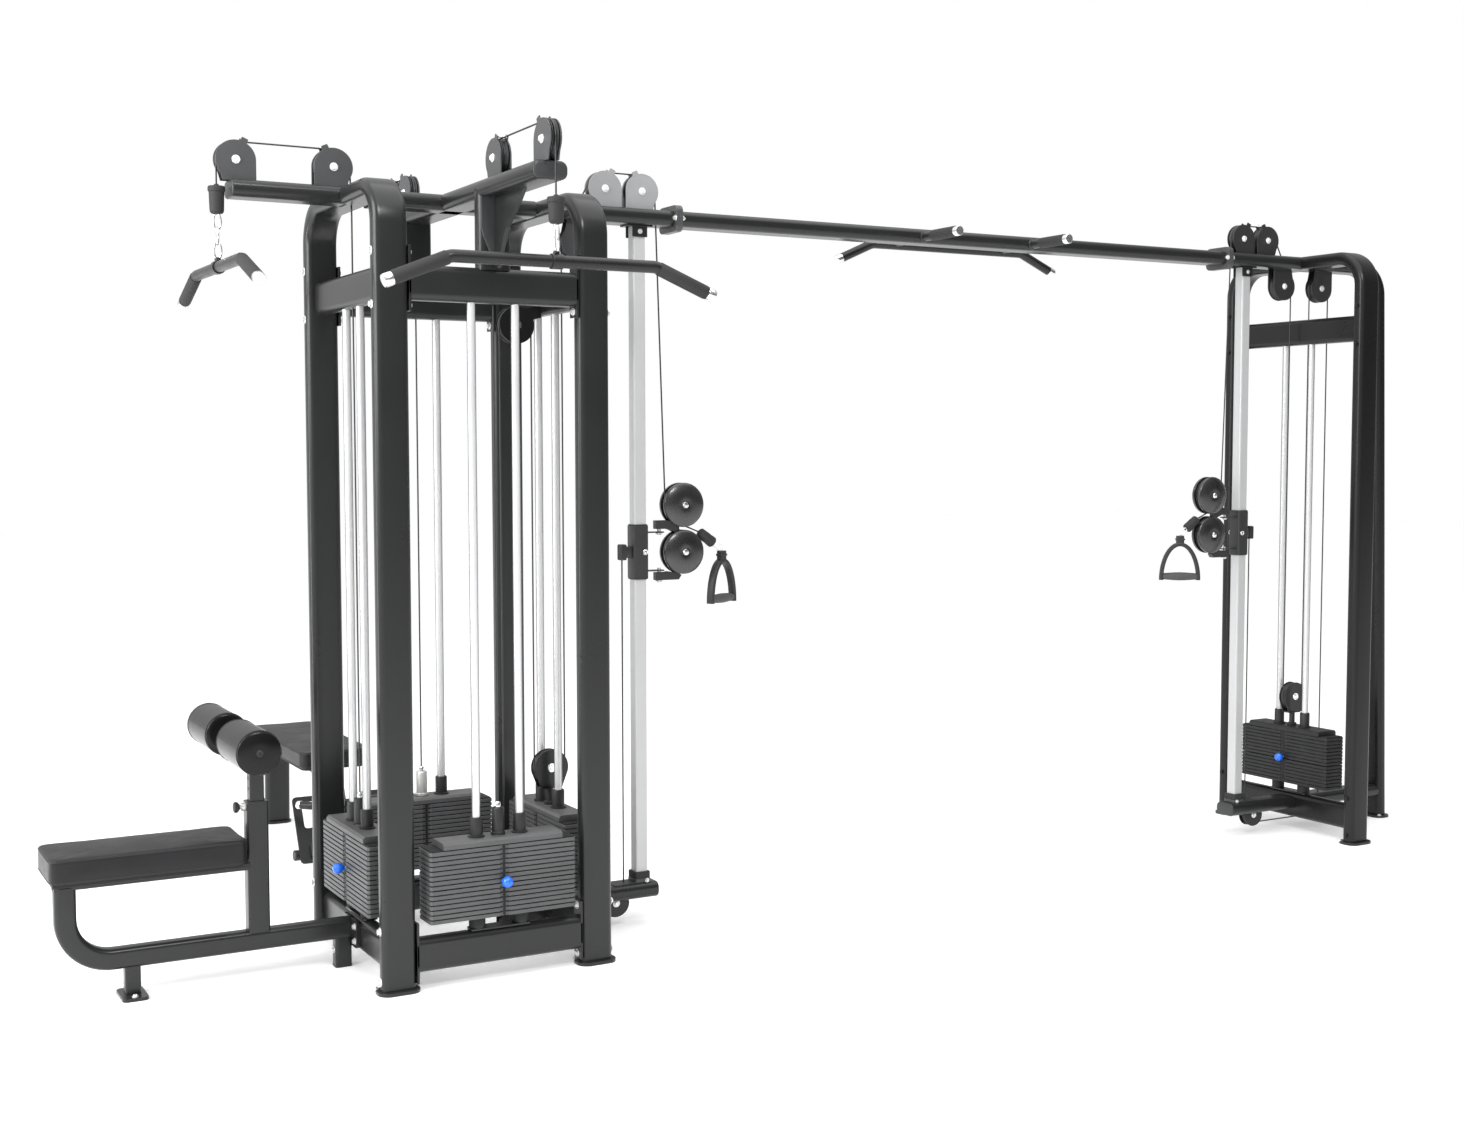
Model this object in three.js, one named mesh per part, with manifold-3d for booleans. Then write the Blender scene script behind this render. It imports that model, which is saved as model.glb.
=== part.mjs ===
// Five-stack cable machine: a four-post core tower with lat, row and column stations,
// an overhead crossover beam with pull-up grips, and a three-legged outer tower.
// Millimetres, +Z up. +X runs along the crossover beam to the outer tower, -Y is the front.
// Parts are laid out about the middle of the core tower, then shifted so that the origin
// lies on the floor under the core tower's front left foot.
import * as THREE from "three";
import { mergeVertices } from "three/addons/utils/BufferGeometryUtils.js";
import Module from "manifold-3d";

const wasm = await Module();
wasm.setup();

// ---------- driving dimensions ----------
const TOP_Z = 2300; // top of arches and beams
const TUBE_WIDE = 100; // frame tube section
const TUBE_THIN = 50;
const TUBE_CORNER = 20;
const ARCH_X = 307; // arch planes of the core tower, at x = -ARCH_X and +ARCH_X
const INNER_X = ARCH_X - TUBE_WIDE / 2; // inner faces of those arches
const LEG_Y = 333; // leg centre lines, at y = -LEG_Y and +LEG_Y
const FAR_X = 3572; // arch plane of the outer tower
const BEND = 110; // centre-line radius of the arch bends
const BEAM_Z = TOP_Z - TUBE_THIN / 2; // centre height of top tubes
const UPPER_LOW = 1953; // underside, middle and top of the upper crossbeams
const UPPER_MID = UPPER_LOW + TUBE_WIDE / 2;
const UPPER_TOP = UPPER_LOW + TUBE_WIDE;
const LOWER_MID = 100; // middle and top of the lower crossbeams
const LOWER_TOP = LOWER_MID + TUBE_WIDE / 2;
const WELD = 5; // distance from a tube's centre line to the end of a tube welded to it
const FOOT = 10; // foot plate thickness
const FLANGE_X = 744; // first bolted joint of the crossover beam
const FLANGE_THICK = 12;
const COLUMN_X = 620; // column centre on the core tower
const COLUMN_WIDE = 42;
const BASE_Z = 112; // centre height of the base rails
const BASE_WIDE = 90; // base rail section
const BASE_HIGH = 50;
const BASE_END = FAR_X + 470; // outer end of the base rail under the third leg
const THIRD_FOOT_X = FAR_X + 488;
const BOTH = [-1, 1];

// Mirror a core-tower station onto the outer tower.
const far = (x) => FAR_X + ARCH_X - x;

// ---------- materials and meshes ----------
const MATERIALS = {
  frame: { color: 0x24262a, roughness: 0.42, metalness: 0.3 },
  plate: { color: 0x5a5c5f, roughness: 0.5, metalness: 0.3 },
  chrome: { color: 0xe6e8ea, roughness: 0.12, metalness: 1.0 },
  stack: { color: 0x55585b, roughness: 0.55, metalness: 0.4 },
  rubber: { color: 0x17181a, roughness: 0.85, metalness: 0.0 },
  wheel: { color: 0x1c1d20, roughness: 0.5, metalness: 0.1 },
  blue: { color: 0x1550c8, roughness: 0.35, metalness: 0.0 },
  vinyl: { color: 0x1b1c1e, roughness: 0.55, metalness: 0.0 },
  disc: { color: 0x6d7073, roughness: 0.4, metalness: 0.4 },
};
const group = new THREE.Group();
group.name = "cable_machine";

// Add a named mesh, shifted so the origin lies under the front left foot.
const put = (name, geometry, kind) => {
  geometry.translate(ARCH_X, LEG_Y, 0);
  const mesh = new THREE.Mesh(geometry, new THREE.MeshStandardMaterial(MATERIALS[kind]));
  mesh.name = name;
  group.add(mesh);
};

// ---------- solids ----------
const toSolid = (geometry) => {
  const bare = geometry.clone();
  bare.deleteAttribute("normal");
  bare.deleteAttribute("uv");
  const merged = mergeVertices(bare, 1e-4);
  return new wasm.Manifold(new wasm.Mesh({
    numProp: 3,
    vertProperties: merged.attributes.position.array,
    triVerts: new Uint32Array(merged.index.array),
  }));
};
const toGeometry = (solid) => {
  const mesh = solid.getMesh();
  const geometry = new THREE.BufferGeometry();
  const positions = new Float32Array(mesh.vertProperties);
  geometry.setAttribute("position", new THREE.BufferAttribute(positions, 3));
  geometry.setIndex(new THREE.BufferAttribute(new Uint32Array(mesh.triVerts), 1));
  geometry.computeVertexNormals();
  return geometry;
};
const join = (first, ...rest) =>
  toGeometry(rest.reduce((solid, part) => solid.add(toSolid(part)), toSolid(first)));
const cut = (body, ...holes) =>
  toGeometry(holes.reduce((solid, hole) => solid.subtract(toSolid(hole)), toSolid(body)));

// Swap two corners of every triangle if the surface is inside out.
const faceOutward = (geometry) => {
  if (toSolid(geometry).volume() >= 0) return geometry;
  const data = geometry.index ? geometry.index.array : geometry.attributes.position.array;
  const size = geometry.index ? 1 : 3;
  for (let i = 0; i < data.length; i += 3 * size)
    for (let k = i + size; k < i + 2 * size; k++)
      [data[k], data[k + size]] = [data[k + size], data[k]];
  return geometry;
};

// ---------- 2-D shapes ----------
const radians = (degrees) => (degrees * Math.PI) / 180;
const poly = (points) => new THREE.Shape(points.map(([x, y]) => new THREE.Vector2(x, y)));
const rounded = (width, height, radius, steps = 3) => {
  const x = width / 2 - radius;
  const y = height / 2 - radius;
  const points = [];
  for (const [cx, cy, start] of [[x, y, 0], [-x, y, 90], [-x, -y, 180], [x, -y, 270]])
    for (let i = 0; i <= steps; i++) {
      const angle = radians(start + (90 * i) / steps);
      points.push([cx + radius * Math.cos(angle), cy + radius * Math.sin(angle)]);
    }
  return poly(points);
};
const disc = (radius, sides) => {
  const angles = Array.from({ length: sides }, (_, i) => (2 * Math.PI * i) / sides);
  return poly(angles.map((angle) => [radius * Math.cos(angle), radius * Math.sin(angle)]));
};

// ---------- 3-D helpers ----------
const AXES = {
  x: new THREE.Vector3(1, 0, 0),
  y: new THREE.Vector3(0, 1, 0),
  z: new THREE.Vector3(0, 0, 1),
};
// Prism of a 2-D shape. Along z: shape (x, y). Along y: shape (x, z). Along x: shape (y, z).
const prism = (shape, axis, start, end, at = [0, 0, 0]) => {
  const geometry = new THREE.ExtrudeGeometry(shape, { depth: end - start, bevelEnabled: false });
  geometry.translate(0, 0, axis === "y" ? -end : start);
  const basis = new THREE.Matrix4();
  if (axis === "x") basis.makeBasis(AXES.y, AXES.z, AXES.x);
  if (axis === "y") basis.makeBasis(AXES.x, AXES.z, AXES.y.clone().negate());
  return geometry.applyMatrix4(basis).translate(...at);
};
const rod = (axis, radius, start, end, at = [0, 0, 0], sides = 12) =>
  prism(disc(radius, sides), axis, start, end, at);
const box = (x0, x1, y0, y1, z0, z1) =>
  new THREE.BoxGeometry(x1 - x0, y1 - y0, z1 - z0)
    .translate((x0 + x1) / 2, (y0 + y1) / 2, (z0 + z1) / 2);

// Turned solid about an x or y axis through `at`; profile of [radius, offset along the axis].
const turned = (profile, axis, at, sides) => {
  const points = profile.map(([radius, offset]) => new THREE.Vector2(radius, offset));
  const geometry = new THREE.LatheGeometry(points, sides);
  if (axis === "x") geometry.rotateZ(-Math.PI / 2);
  return faceOutward(geometry.translate(...at));
};

// A path through given points, swept with one fixed side direction.
class Spine extends THREE.Curve {
  constructor(points, side) {
    super();
    this.points = points;
    this.side = side;
  }
  getSpacedPoints() {
    return this.points;
  }
  computeFrenetFrames() {
    const { points, side } = this;
    const tangents = points.map((point, i) => {
      const tangent = new THREE.Vector3();
      if (i > 0) tangent.add(point.clone().sub(points[i - 1]).normalize());
      if (i < points.length - 1) tangent.add(points[i + 1].clone().sub(point).normalize());
      return tangent.normalize();
    });
    const normals = points.map(() => side);
    const binormals = tangents.map((tangent) => tangent.clone().cross(side).normalize());
    return { tangents, normals, binormals };
  }
}
// Arc of radius `radius` that replaces the corner between its two neighbours.
const roundCorner = (before, corner, after, radius, steps) => {
  const back = before.clone().sub(corner).normalize();
  const ahead = after.clone().sub(corner).normalize();
  const half = Math.acos(THREE.MathUtils.clamp(back.dot(ahead), -1, 1)) / 2;
  const centre = back.clone().add(ahead).normalize()
    .multiplyScalar(radius / Math.sin(half)).add(corner);
  const reach = radius / Math.tan(half);
  const start = back.multiplyScalar(reach).add(corner).sub(centre);
  const end = ahead.multiplyScalar(reach).add(corner).sub(centre);
  const from = Math.atan2(start.y, start.x);
  let sweep = Math.atan2(end.y, end.x) - from;
  if (sweep > Math.PI) sweep -= 2 * Math.PI;
  if (sweep < -Math.PI) sweep += 2 * Math.PI;
  return Array.from({ length: steps + 1 }, (_, k) => {
    const angle = from + (sweep * k) / steps;
    return new THREE.Vector2(Math.cos(angle), Math.sin(angle)).multiplyScalar(radius).add(centre);
  });
};
// Sweep a shape along corners in the plane whose `normal` coordinate is `level`. Corners hold
// the other two coordinates; `bends` is one radius, or one for each inner corner.
const sweep = (shape, normal, level, corners, bends = 0, steps = 0) => {
  const flat = corners.map((corner) => new THREE.Vector2(...corner));
  const points = flat.flatMap((corner, i) => {
    const isEnd = i === 0 || i === flat.length - 1;
    const radius = Array.isArray(bends) ? bends[i - 1] : bends;
    return isEnd || !radius ? [corner] : roundCorner(flat[i - 1], corner, flat[i + 1], radius, steps);
  });
  const to3 = {
    x: ({ x, y }) => new THREE.Vector3(level, x, y),
    y: ({ x, y }) => new THREE.Vector3(x, level, y),
    z: ({ x, y }) => new THREE.Vector3(x, y, level),
  }[normal];
  return faceOutward(new THREE.ExtrudeGeometry(shape, {
    steps: points.length - 1,
    bevelEnabled: false,
    extrudePath: new Spine(points.map(to3), AXES[normal]),
  }));
};
// Corners of a symmetric bar with two bent ends: [half length, level] of its ends and bends.
const barCorners = ([endHalf, endLevel], [bendHalf, bendLevel], middle = 0) => [
  [middle - endHalf, endLevel], [middle - bendHalf, bendLevel],
  [middle + bendHalf, bendLevel], [middle + endHalf, endLevel],
];

// ---------- pulleys and their guard plates ----------
const PULLEY_Z = 2357; // axle height of the top pulleys
const GUARD_THICK = 4;
const GUARD_GAP = 13; // from the middle of the wheel to a guard plate
const GUARD_OUT = GUARD_GAP + GUARD_THICK; // outer face of a guard plate
const AXLE = 6; // axle bolt radius
const BORE = 6.4; // wheel bore radius
const HANG_OUT = 104; // hanging guards, distance from the arch plane

// Top pulley stations: [axle axis, x, y, side of the guards' straight edge].
const TOP_PULLEYS = {
  front_outer: ["x", 0, -735, 1],
  front_inner: ["x", 0, -385, -1],
  rear_inner: ["x", 0, 385, 1], // guards only, no wheel
  rear_outer: ["x", 0, 530, -1],
  left_outer: ["y", -644, 0, 1],
  left_inner: ["y", -363, 0, -1],
  right_outer: ["y", 633, 0, -1],
  right_inner: ["y", 504, 0, 1],
  far_outer: ["y", far(633), 0, 1],
  far_inner: ["y", far(504), 0, -1],
};

// Guard outline with a straight foot and a round head; `rise` is the axle's height on it.
const roundGuard = (rise, half, radius) => {
  const points = [[-half * 0.82, 0], [half * 0.82, 0]];
  for (let i = 0; i <= 7; i++) {
    const angle = (i * Math.PI) / 7;
    points.push([radius * 1.04 * Math.cos(angle), rise + radius * Math.sin(angle)]);
  }
  return poly(points);
};
// One edge straight (side = 1 or -1), the other round and cut away at a slant towards the
// tube; an ear above the straight edge keeps the cable in its groove.
const slantGuard = (rise, side, hasEar) => {
  const across = 57;
  const high = 55;
  // Outline about the axle: [degrees, extra radius].
  const ear = hasEar ? [[58.5, 12], [74, 12]] : [];
  const rim = [
    [0, 0], [29, 0], [58, 0], ...ear,
    [77, 0], [105, 0], [133, 0], [161, 0], [189, 0], [217, 0],
  ].map(([degrees, extra]) => [
    (across + extra) * Math.cos(radians(degrees)),
    rise + (high + extra) * Math.sin(radians(degrees)),
  ]);
  const points = [[-38, 0], [across, 0], ...rim];
  return poly(side > 0 ? points : points.map(([x, y]) => [-x, y]).reverse());
};
// Two plates with the axle bolt between them; a negative rise hangs them from a tube.
const guardPair = (outline, axle, [x, y, z], rise, boltHalf = GUARD_OUT + 7) => {
  const plates = [[-GUARD_OUT, -GUARD_GAP], [GUARD_GAP, GUARD_OUT]].map(([start, end]) => {
    const plate = prism(outline, axle, start, end);
    if (rise < 0) plate.rotateX(Math.PI);
    return plate.translate(x, y, z);
  });
  return [...plates, rod(axle, AXLE, -boltHalf, boltHalf, [x, y, z + rise])];
};
const topGuards = (...names) => names.flatMap((name) => {
  const [axle, x, y, side] = TOP_PULLEYS[name];
  const root = TOP_Z - 4; // sunk into the tube
  const rise = PULLEY_Z - root;
  return guardPair(slantGuard(rise, side, true), axle, [x, y, root], rise);
});
const hangingGuards = (x, side) => {
  const drop = 75;
  const root = TOP_Z - TUBE_THIN + 8; // sunk into the tube
  return guardPair(slantGuard(drop, side, false), "y", [x, 0, root], -drop);
};
const baseGuards = (x) => guardPair(roundGuard(18, 50, 45), "y", [x, 0, 95], -18);

// Wheel profile with a cable groove in a rim of edges broken by `edge` x `bevel`.
const wheelProfile = (radius, width, edge, bevel) => {
  const half = width / 2;
  const groove = radius - 6;
  return [
    [BORE, -half], [radius - edge, -half], [radius, -half + bevel],
    [groove, -2.5], [groove, 2.5],
    [radius, half - bevel], [radius - edge, half], [BORE, half], [BORE, -half],
  ];
};

// ---------- frame pieces ----------
const TUBE = rounded(TUBE_WIDE, TUBE_THIN, TUBE_CORNER); // lying flat
const FLAT = rounded(TUBE_WIDE, TUBE_THIN, TUBE_CORNER, 2); // flat, with coarser corners
const UPRIGHT = rounded(TUBE_THIN, TUBE_WIDE, TUBE_CORNER, 2); // on edge
const topBeam = (start, end) => prism(FLAT, "x", start, end, [0, 0, BEAM_Z]);
const crossbeam = (y, z) => prism(UPRIGHT, "x", -INNER_X, INNER_X, [0, y, z]);
const foot = (x, y, width = 124, depth = 84) =>
  prism(rounded(width, depth, 34), "z", 0, FOOT + 0.5, [x, y, 0]);
const flange = (start) =>
  prism(rounded(124, 84, 20, 2), "x", start, start + FLANGE_THICK, [0, 0, BEAM_Z]);
const baseRail = (start, end, clearance = 0) => {
  const corner = 20 + clearance / 2;
  const section = rounded(BASE_WIDE + clearance, BASE_HIGH + clearance, corner, 2);
  return prism(section, "x", start, end, [0, 0, BASE_Z]);
};
// Arch with its feet and its upper and lower crossbeams.
const archFrame = (x) => {
  const corners = [[-LEG_Y, FOOT], [-LEG_Y, BEAM_Z], [LEG_Y, BEAM_Z], [LEG_Y, FOOT]];
  return [
    sweep(TUBE, "x", x, corners, BEND, 5),
    ...BOTH.map((k) => foot(x, k * LEG_Y)),
    ...[UPPER_MID, LOWER_MID].map((z) =>
      prism(UPRIGHT, "y", -LEG_Y + WELD, LEG_Y - WELD, [x, 0, z])),
  ];
};

// Left side frame with the lat beam and its two guarded pulleys.
put("side_frame_left", join(
  ...archFrame(-ARCH_X),
  topBeam(-662, -ARCH_X - WELD),
  ...topGuards("left_inner", "left_outer"),
), "frame");

// Right side frame: top stub with joint flange, base stub under the column, and two flat
// plates with a bolt inside the tower.
put("side_frame_right", join(
  ...archFrame(ARCH_X),
  topBeam(ARCH_X + WELD, FLANGE_X),
  flange(FLANGE_X - FLANGE_THICK),
  ...topGuards("right_inner", "right_outer"),
  ...hangingGuards(ARCH_X + HANG_OUT, 1),
  baseRail(ARCH_X + WELD, COLUMN_X + 50),
  box(ARCH_X - 175, ARCH_X - 20, -GUARD_OUT, -GUARD_GAP, 1880, 1990),
  box(ARCH_X - 175, ARCH_X - 20, GUARD_GAP, GUARD_OUT, 1880, 1990),
  rod("y", AXLE, -24, 24, [ARCH_X - HANG_OUT, 0, 1921]),
  ...baseGuards(529),
), "frame");

// Gusset in front of the front post: [distance in front of the leg line, z].
const GUSSET = [
  [20, 2050], [20, 2255], [250, 2255], [235, 2235], [160, 2190], [80, 2110], [48, 2055],
];
// Head frame: upper front and rear crossbeams, posts, gusset, fore-and-aft and cross top beams.
put("head_frame", join(
  ...BOTH.map((k) => crossbeam(k * LEG_Y, UPPER_MID)),
  ...BOTH.map((k) => prism(TUBE, "z", UPPER_TOP - 8, BEAM_Z, [0, k * LEG_Y, 0])),
  prism(poly(GUSSET.map(([out, z]) => [-LEG_Y - out, z])), "x", -6, 6),
  prism(FLAT, "y", -752, 580, [0, 0, BEAM_Z]),
  topBeam(-INNER_X, INNER_X),
  ...topGuards("front_outer", "front_inner", "rear_inner", "rear_outer"),
), "frame");
put("lower_beam_front", crossbeam(-LEG_Y, LOWER_MID), "frame");

// Tilted foot plate with a window; k = -1 or 1.
const footPlate = (k) =>
  cut(
    prism(rounded(116, 250, 16), "z", -4, 4),
    prism(rounded(52, 100, 10, 2), "z", -5, 5, [0, 55, 0]),
  ).rotateX(radians(62)).translate(k * 126, 1172, 165);
// Rear lower crossbeam with the rail of the row station: low run, rise, seat rail, rear leg.
const ROW_LEG_Y = 2140;
const SEAT_RAIL_Z = 340;
const RAIL = [
  [LEG_Y + WELD, 75], [1265, 75], [1395, SEAT_RAIL_Z], [2125, SEAT_RAIL_Z], [ROW_LEG_Y, FOOT],
];
put("rear_base_frame", join(
  crossbeam(LEG_Y, LOWER_MID),
  sweep(TUBE, "x", 0, RAIL, [120, 120, 90], 4),
  foot(0, ROW_LEG_Y, 110, 84),
  ...guardPair(roundGuard(70, 50, 55), "x", [0, 634, 95], 70, 26),
  rod("x", 19, -192, 192, [0, 1150, 80]),
  prism(rounded(40, 60, 8), "y", 1130, 1170, [0, 0, 78]),
  ...BOTH.map(footPlate),
), "frame");

// Crossover beam, bored for the two pull-up handles.
const GRIP_Z = BEAM_Z - 3;
const PULLUP_X = 1940; // middle of the pull-up bar
const GRIP_XS = BOTH.map((k) => PULLUP_X + k * 236);
put("crossover_beam", cut(
  join(
    prism(TUBE, "x", FLANGE_X, far(FLANGE_X), [0, 0, BEAM_Z]),
    flange(FLANGE_X),
    flange(far(FLANGE_X) - FLANGE_THICK),
  ),
  ...GRIP_XS.map((x) => rod("y", 16.2, -80, 80, [x, 0, GRIP_Z])),
), "frame");
// Wide bar behind the beam, welded to two neutral handles that pass through the beam.
put("pullup_bar", join(
  sweep(disc(16, 12), "y", 135, barCorners([478, 2197], [330, 2262], PULLUP_X), 60, 4),
  ...GRIP_XS.map((x) => rod("y", 16, -250, 140, [x, 0, GRIP_Z])),
), "frame");

// Outer tower: arch, inner top tube with flange, base rails, cable guards.
put("side_frame_far", join(
  ...archFrame(FAR_X),
  topBeam(far(FLANGE_X), FAR_X - WELD),
  flange(far(FLANGE_X)),
  ...topGuards("far_outer", "far_inner"),
  ...hangingGuards(FAR_X - HANG_OUT, -1),
  baseRail(far(COLUMN_X) - 50, FAR_X - WELD),
  baseRail(FAR_X + WELD, BASE_END),
  ...baseGuards(far(529)),
), "frame");
// Third leg: top tube from the arch, bent down and leaning out to its own foot; cleared
// where it meets the arch and the base rail.
const THIRD_LEG = [[FAR_X + 30, BEAM_Z], [FAR_X + 415, BEAM_Z], [THIRD_FOOT_X, FOOT]];
const ARCH_CLEARANCE = rounded(TUBE_WIDE + 0.6, TUBE_THIN + 60, TUBE_CORNER);
put("third_leg", cut(
  join(
    sweep(TUBE, "y", 0, THIRD_LEG, BEND, 5),
    foot(THIRD_FOOT_X, 0, 84, 124),
    ...hangingGuards(FAR_X + HANG_OUT, 1),
  ),
  sweep(ARCH_CLEARANCE, "x", FAR_X, [[-200, BEAM_Z], [200, BEAM_Z]]),
  baseRail(FAR_X, BASE_END + 0.3, 0.6),
), "frame");

// Polished columns, from the base rail to the top beam.
const COLUMN = rounded(COLUMN_WIDE, COLUMN_WIDE, 5, 2);
for (const [side, x] of [["right", COLUMN_X], ["far", far(COLUMN_X)]]) {
  const column = prism(COLUMN, "z", BASE_Z + BASE_HIGH / 2, TOP_Z - TUBE_THIN, [x, 0, 0]);
  put("column_" + side, column, "chrome");
}

// ---------- weight stacks (built facing -Y about the origin) ----------
const STACK_LOW = 190; // underside of the lowest plate
const PITCH = 14; // plate pitch
const PLATES = 15;
const RESTING = 7; // plates left resting under the pinned plate
const PLATE_LONG = 450;
const PLATE_HALF = 50; // half depth of a plate
const HEAD_LONG = 366;
const ROD_RADIUS = 12.5;
const ROD_X = 67; // half spacing of the guide rods
const STACK_TOP = STACK_LOW + PITCH * PLATES;
const HEAD_TOP = STACK_TOP + 21;

// Plates from number `first` up to, but not including, number `end`.
const plateBlock = (first, end) => {
  const low = STACK_LOW + PITCH * first;
  const top = STACK_LOW + PITCH * end;
  const half = PLATE_HALF;
  const outline = poly([[-half, low], [half, low], [half, top], [-half, top]]);
  return prism(outline, "x", -PLATE_LONG / 2, PLATE_LONG / 2);
};
const headPlate = () => {
  const low = STACK_TOP - 1;
  const chamfer = 7;
  const half = PLATE_HALF;
  const outline = poly([
    [-half, low], [half, low], [half, HEAD_TOP - chamfer], [half - chamfer, HEAD_TOP],
    [-half + chamfer, HEAD_TOP], [-half, HEAD_TOP - chamfer],
  ]);
  return prism(outline, "x", -HEAD_LONG / 2, HEAD_LONG / 2);
};
const atRods = (make) => BOTH.map((k) => make([k * ROD_X, 0, 0]));
const rodHoles = (top) => atRods((at) => rod("z", 13.4, STACK_LOW - 5, top, at));
const pinHeight = (first) => STACK_LOW + (first + 0.5) * PITCH;

// Travelling pulley housing: two cheeks on a bridge plate.
const pulleyHousing = () => [
  ...guardPair(roundGuard(63, 44, 56), "x", [0, 0, HEAD_TOP + 55], 63, 26),
  box(-GUARD_OUT, GUARD_OUT, -30, 30, HEAD_TOP + 52, HEAD_TOP + 59),
];
// Lifted plates with head plate, rod sleeves, centre stem and, at the top, a collar or pulley.
const liftedStack = (first, hasPulley) => {
  const stemLow = first ? STACK_LOW + 4 : STACK_LOW;
  const body = join(
    plateBlock(first, PLATES),
    headPlate(),
    ...atRods((at) => rod("z", 19, HEAD_TOP - 1, HEAD_TOP + 58, at)),
    rod("z", 11, stemLow, HEAD_TOP + (hasPulley ? 56 : 95)),
    ...(hasPulley ? pulleyHousing() : [rod("z", 18, HEAD_TOP - 1, HEAD_TOP + 80)]),
  );
  const pinHole = rod("y", 4.3, -PLATE_HALF - 5, -8, [0, 0, pinHeight(first)]);
  return cut(body, ...rodHoles(HEAD_TOP + 70), pinHole);
};
const restingStack = (end) => {
  const top = STACK_LOW + 300;
  return cut(plateBlock(0, end), ...rodHoles(top), rod("z", 12.2, STACK_LOW - 5, top));
};
// Two guide rods with bottom bumpers on a common base plate.
const guideRods = () => join(
  box(-ROD_X - 26, ROD_X + 26, -22, 22, LOWER_TOP, LOWER_TOP + 6),
  ...atRods((at) => rod("z", ROD_RADIUS, LOWER_TOP + 1, UPPER_LOW, at)),
  ...atRods((at) => rod("z", 21, LOWER_TOP + 1, STACK_LOW, at, 10)),
);
// Knob of the stack pin: [radius, offset from the plate face].
const PIN_KNOB = [
  [0, -36], [10, -35], [16, -28], [16.5, -20], [13, -10], [6, -1.5], [0, -1.5],
];
const stackPin = (first) => {
  const z = pinHeight(first);
  return join(
    rod("y", 4, -PLATE_HALF - 2, -12, [0, 0, z], 10),
    turned(PIN_KNOB, "y", [0, -PLATE_HALF, z], 12),
  );
};

// Stations: [side, turn in degrees, x, y, first lifted plate, has a travelling pulley].
const STACKS = [
  ["front", 0, 0, -LEG_Y, RESTING, false],
  ["left", -90, -ARCH_X, 0, RESTING, false],
  ["rear", 180, 0, LEG_Y, 0, false],
  ["right", 90, ARCH_X, 0, 0, true],
  ["far", -90, FAR_X, 0, RESTING, true],
];
for (const [side, degrees, x, y, first, hasPulley] of STACKS) {
  const place = (geometry) => geometry.rotateZ(radians(degrees)).translate(x, y, 0);
  put(`stack_${side}_lift`, place(liftedStack(first, hasPulley)), "stack");
  if (first) put(`stack_${side}_rest`, place(restingStack(first)), "stack");
  put("guide_rods_" + side, place(guideRods()), "chrome");
  put("stack_pin_" + side, place(stackPin(first)), "blue");
}

// ---------- top pulley wheels ----------
for (const [name, [axle, x, y]] of Object.entries(TOP_PULLEYS)) {
  if (name === "rear_inner") continue;
  put("pulley_" + name, turned(wheelProfile(55, 20, 2, 3), axle, [x, y, PULLEY_Z], 14), "wheel");
}

// ---------- column carriages (built at the origin facing +X) ----------
const CARRIAGE_Z = 1210; // carriage centre height
const SWIVEL_X = 76; // vertical swivel axis, ahead of the column centre
const WHEEL_X = 159; // axles of the two wheels, ahead of the column centre
const WHEELS = { upper: 149, lower: -4 }; // axle heights about the carriage centre
const COVER = 72; // radius of the domed covers
const TAB = 62; // height of the two thin hinge tabs
const RING_X = 308; // handle ring, ahead of the column centre
const RING_Z = -8;

// Box sleeve on the column with two hinge tabs and a pin boss at the back.
const carriage = () => cut(
  join(
    prism(rounded(53, 53, 7, 2), "z", -85, 85),
    ...BOTH.map((k) => prism(rounded(66, 34, 8, 2), "z", k * TAB - 2, k * TAB + 2, [57, 0, 0])),
    prism(rounded(26, 30, 6, 2), "x", -46, -23),
  ),
  prism(rounded(COLUMN_WIDE + 0.8, COLUMN_WIDE + 0.8, 5.4, 2), "z", -90, 90),
  rod("x", 5.4, -70, 0, [0, 0, 0], 10),
  rod("z", BORE, -90, 90, [SWIVEL_X, 0, 0], 10),
);
const carriagePin = () => join(
  rod("x", 5, -52, -22.5, [0, 0, 0], 10),
  prism(rounded(32, 50, 6, 2), "x", -66, -46.3),
);
// Domed cover: [radius, distance from the middle plane].
const DOME = [[0, 9.2], [COVER, 9.2], [COVER, 20], [COVER - 6, 24], [36, 31], [0, 32]];
// Swivel ears: [x, height above the upper or lower hinge tab].
const UPPER_EAR = [
  [60, 10], [60, 38], [100, 38], [116, 36], [132, 25], [146, 18], [146, -2.5], [130, -1.5],
  [100, 10],
];
const LOWER_EAR = [
  [60, -32], [60, -6], [98, -6], [104, -4], [112, -5], [140, -9], [154, -17], [144, -32],
];
const cover = (k, z) =>
  turned(DOME.map(([radius, out]) => [radius, out * k]), "y", [WHEEL_X, 0, z], 18);
const ear = (outline, tab) => prism(poly(outline.map(([x, z]) => [x, tab + z])), "y", -11, 11);
// Swivel casing: a domed cover each side of each wheel, two ears, hinge bolts and axles.
const swivel = () => join(
  ...BOTH.flatMap((k) => Object.values(WHEELS).map((z) => cover(k, z))),
  ear(UPPER_EAR, TAB),
  ear(LOWER_EAR, -TAB),
  rod("z", AXLE, TAB - 8, TAB + 40, [SWIVEL_X, 0, 0], 10),
  rod("z", AXLE, -TAB - 40, -TAB + 8, [SWIVEL_X, 0, 0], 10),
  ...Object.values(WHEELS).map((z) => rod("y", AXLE, -36, 36, [WHEEL_X, 0, z], 8)),
);
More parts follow.
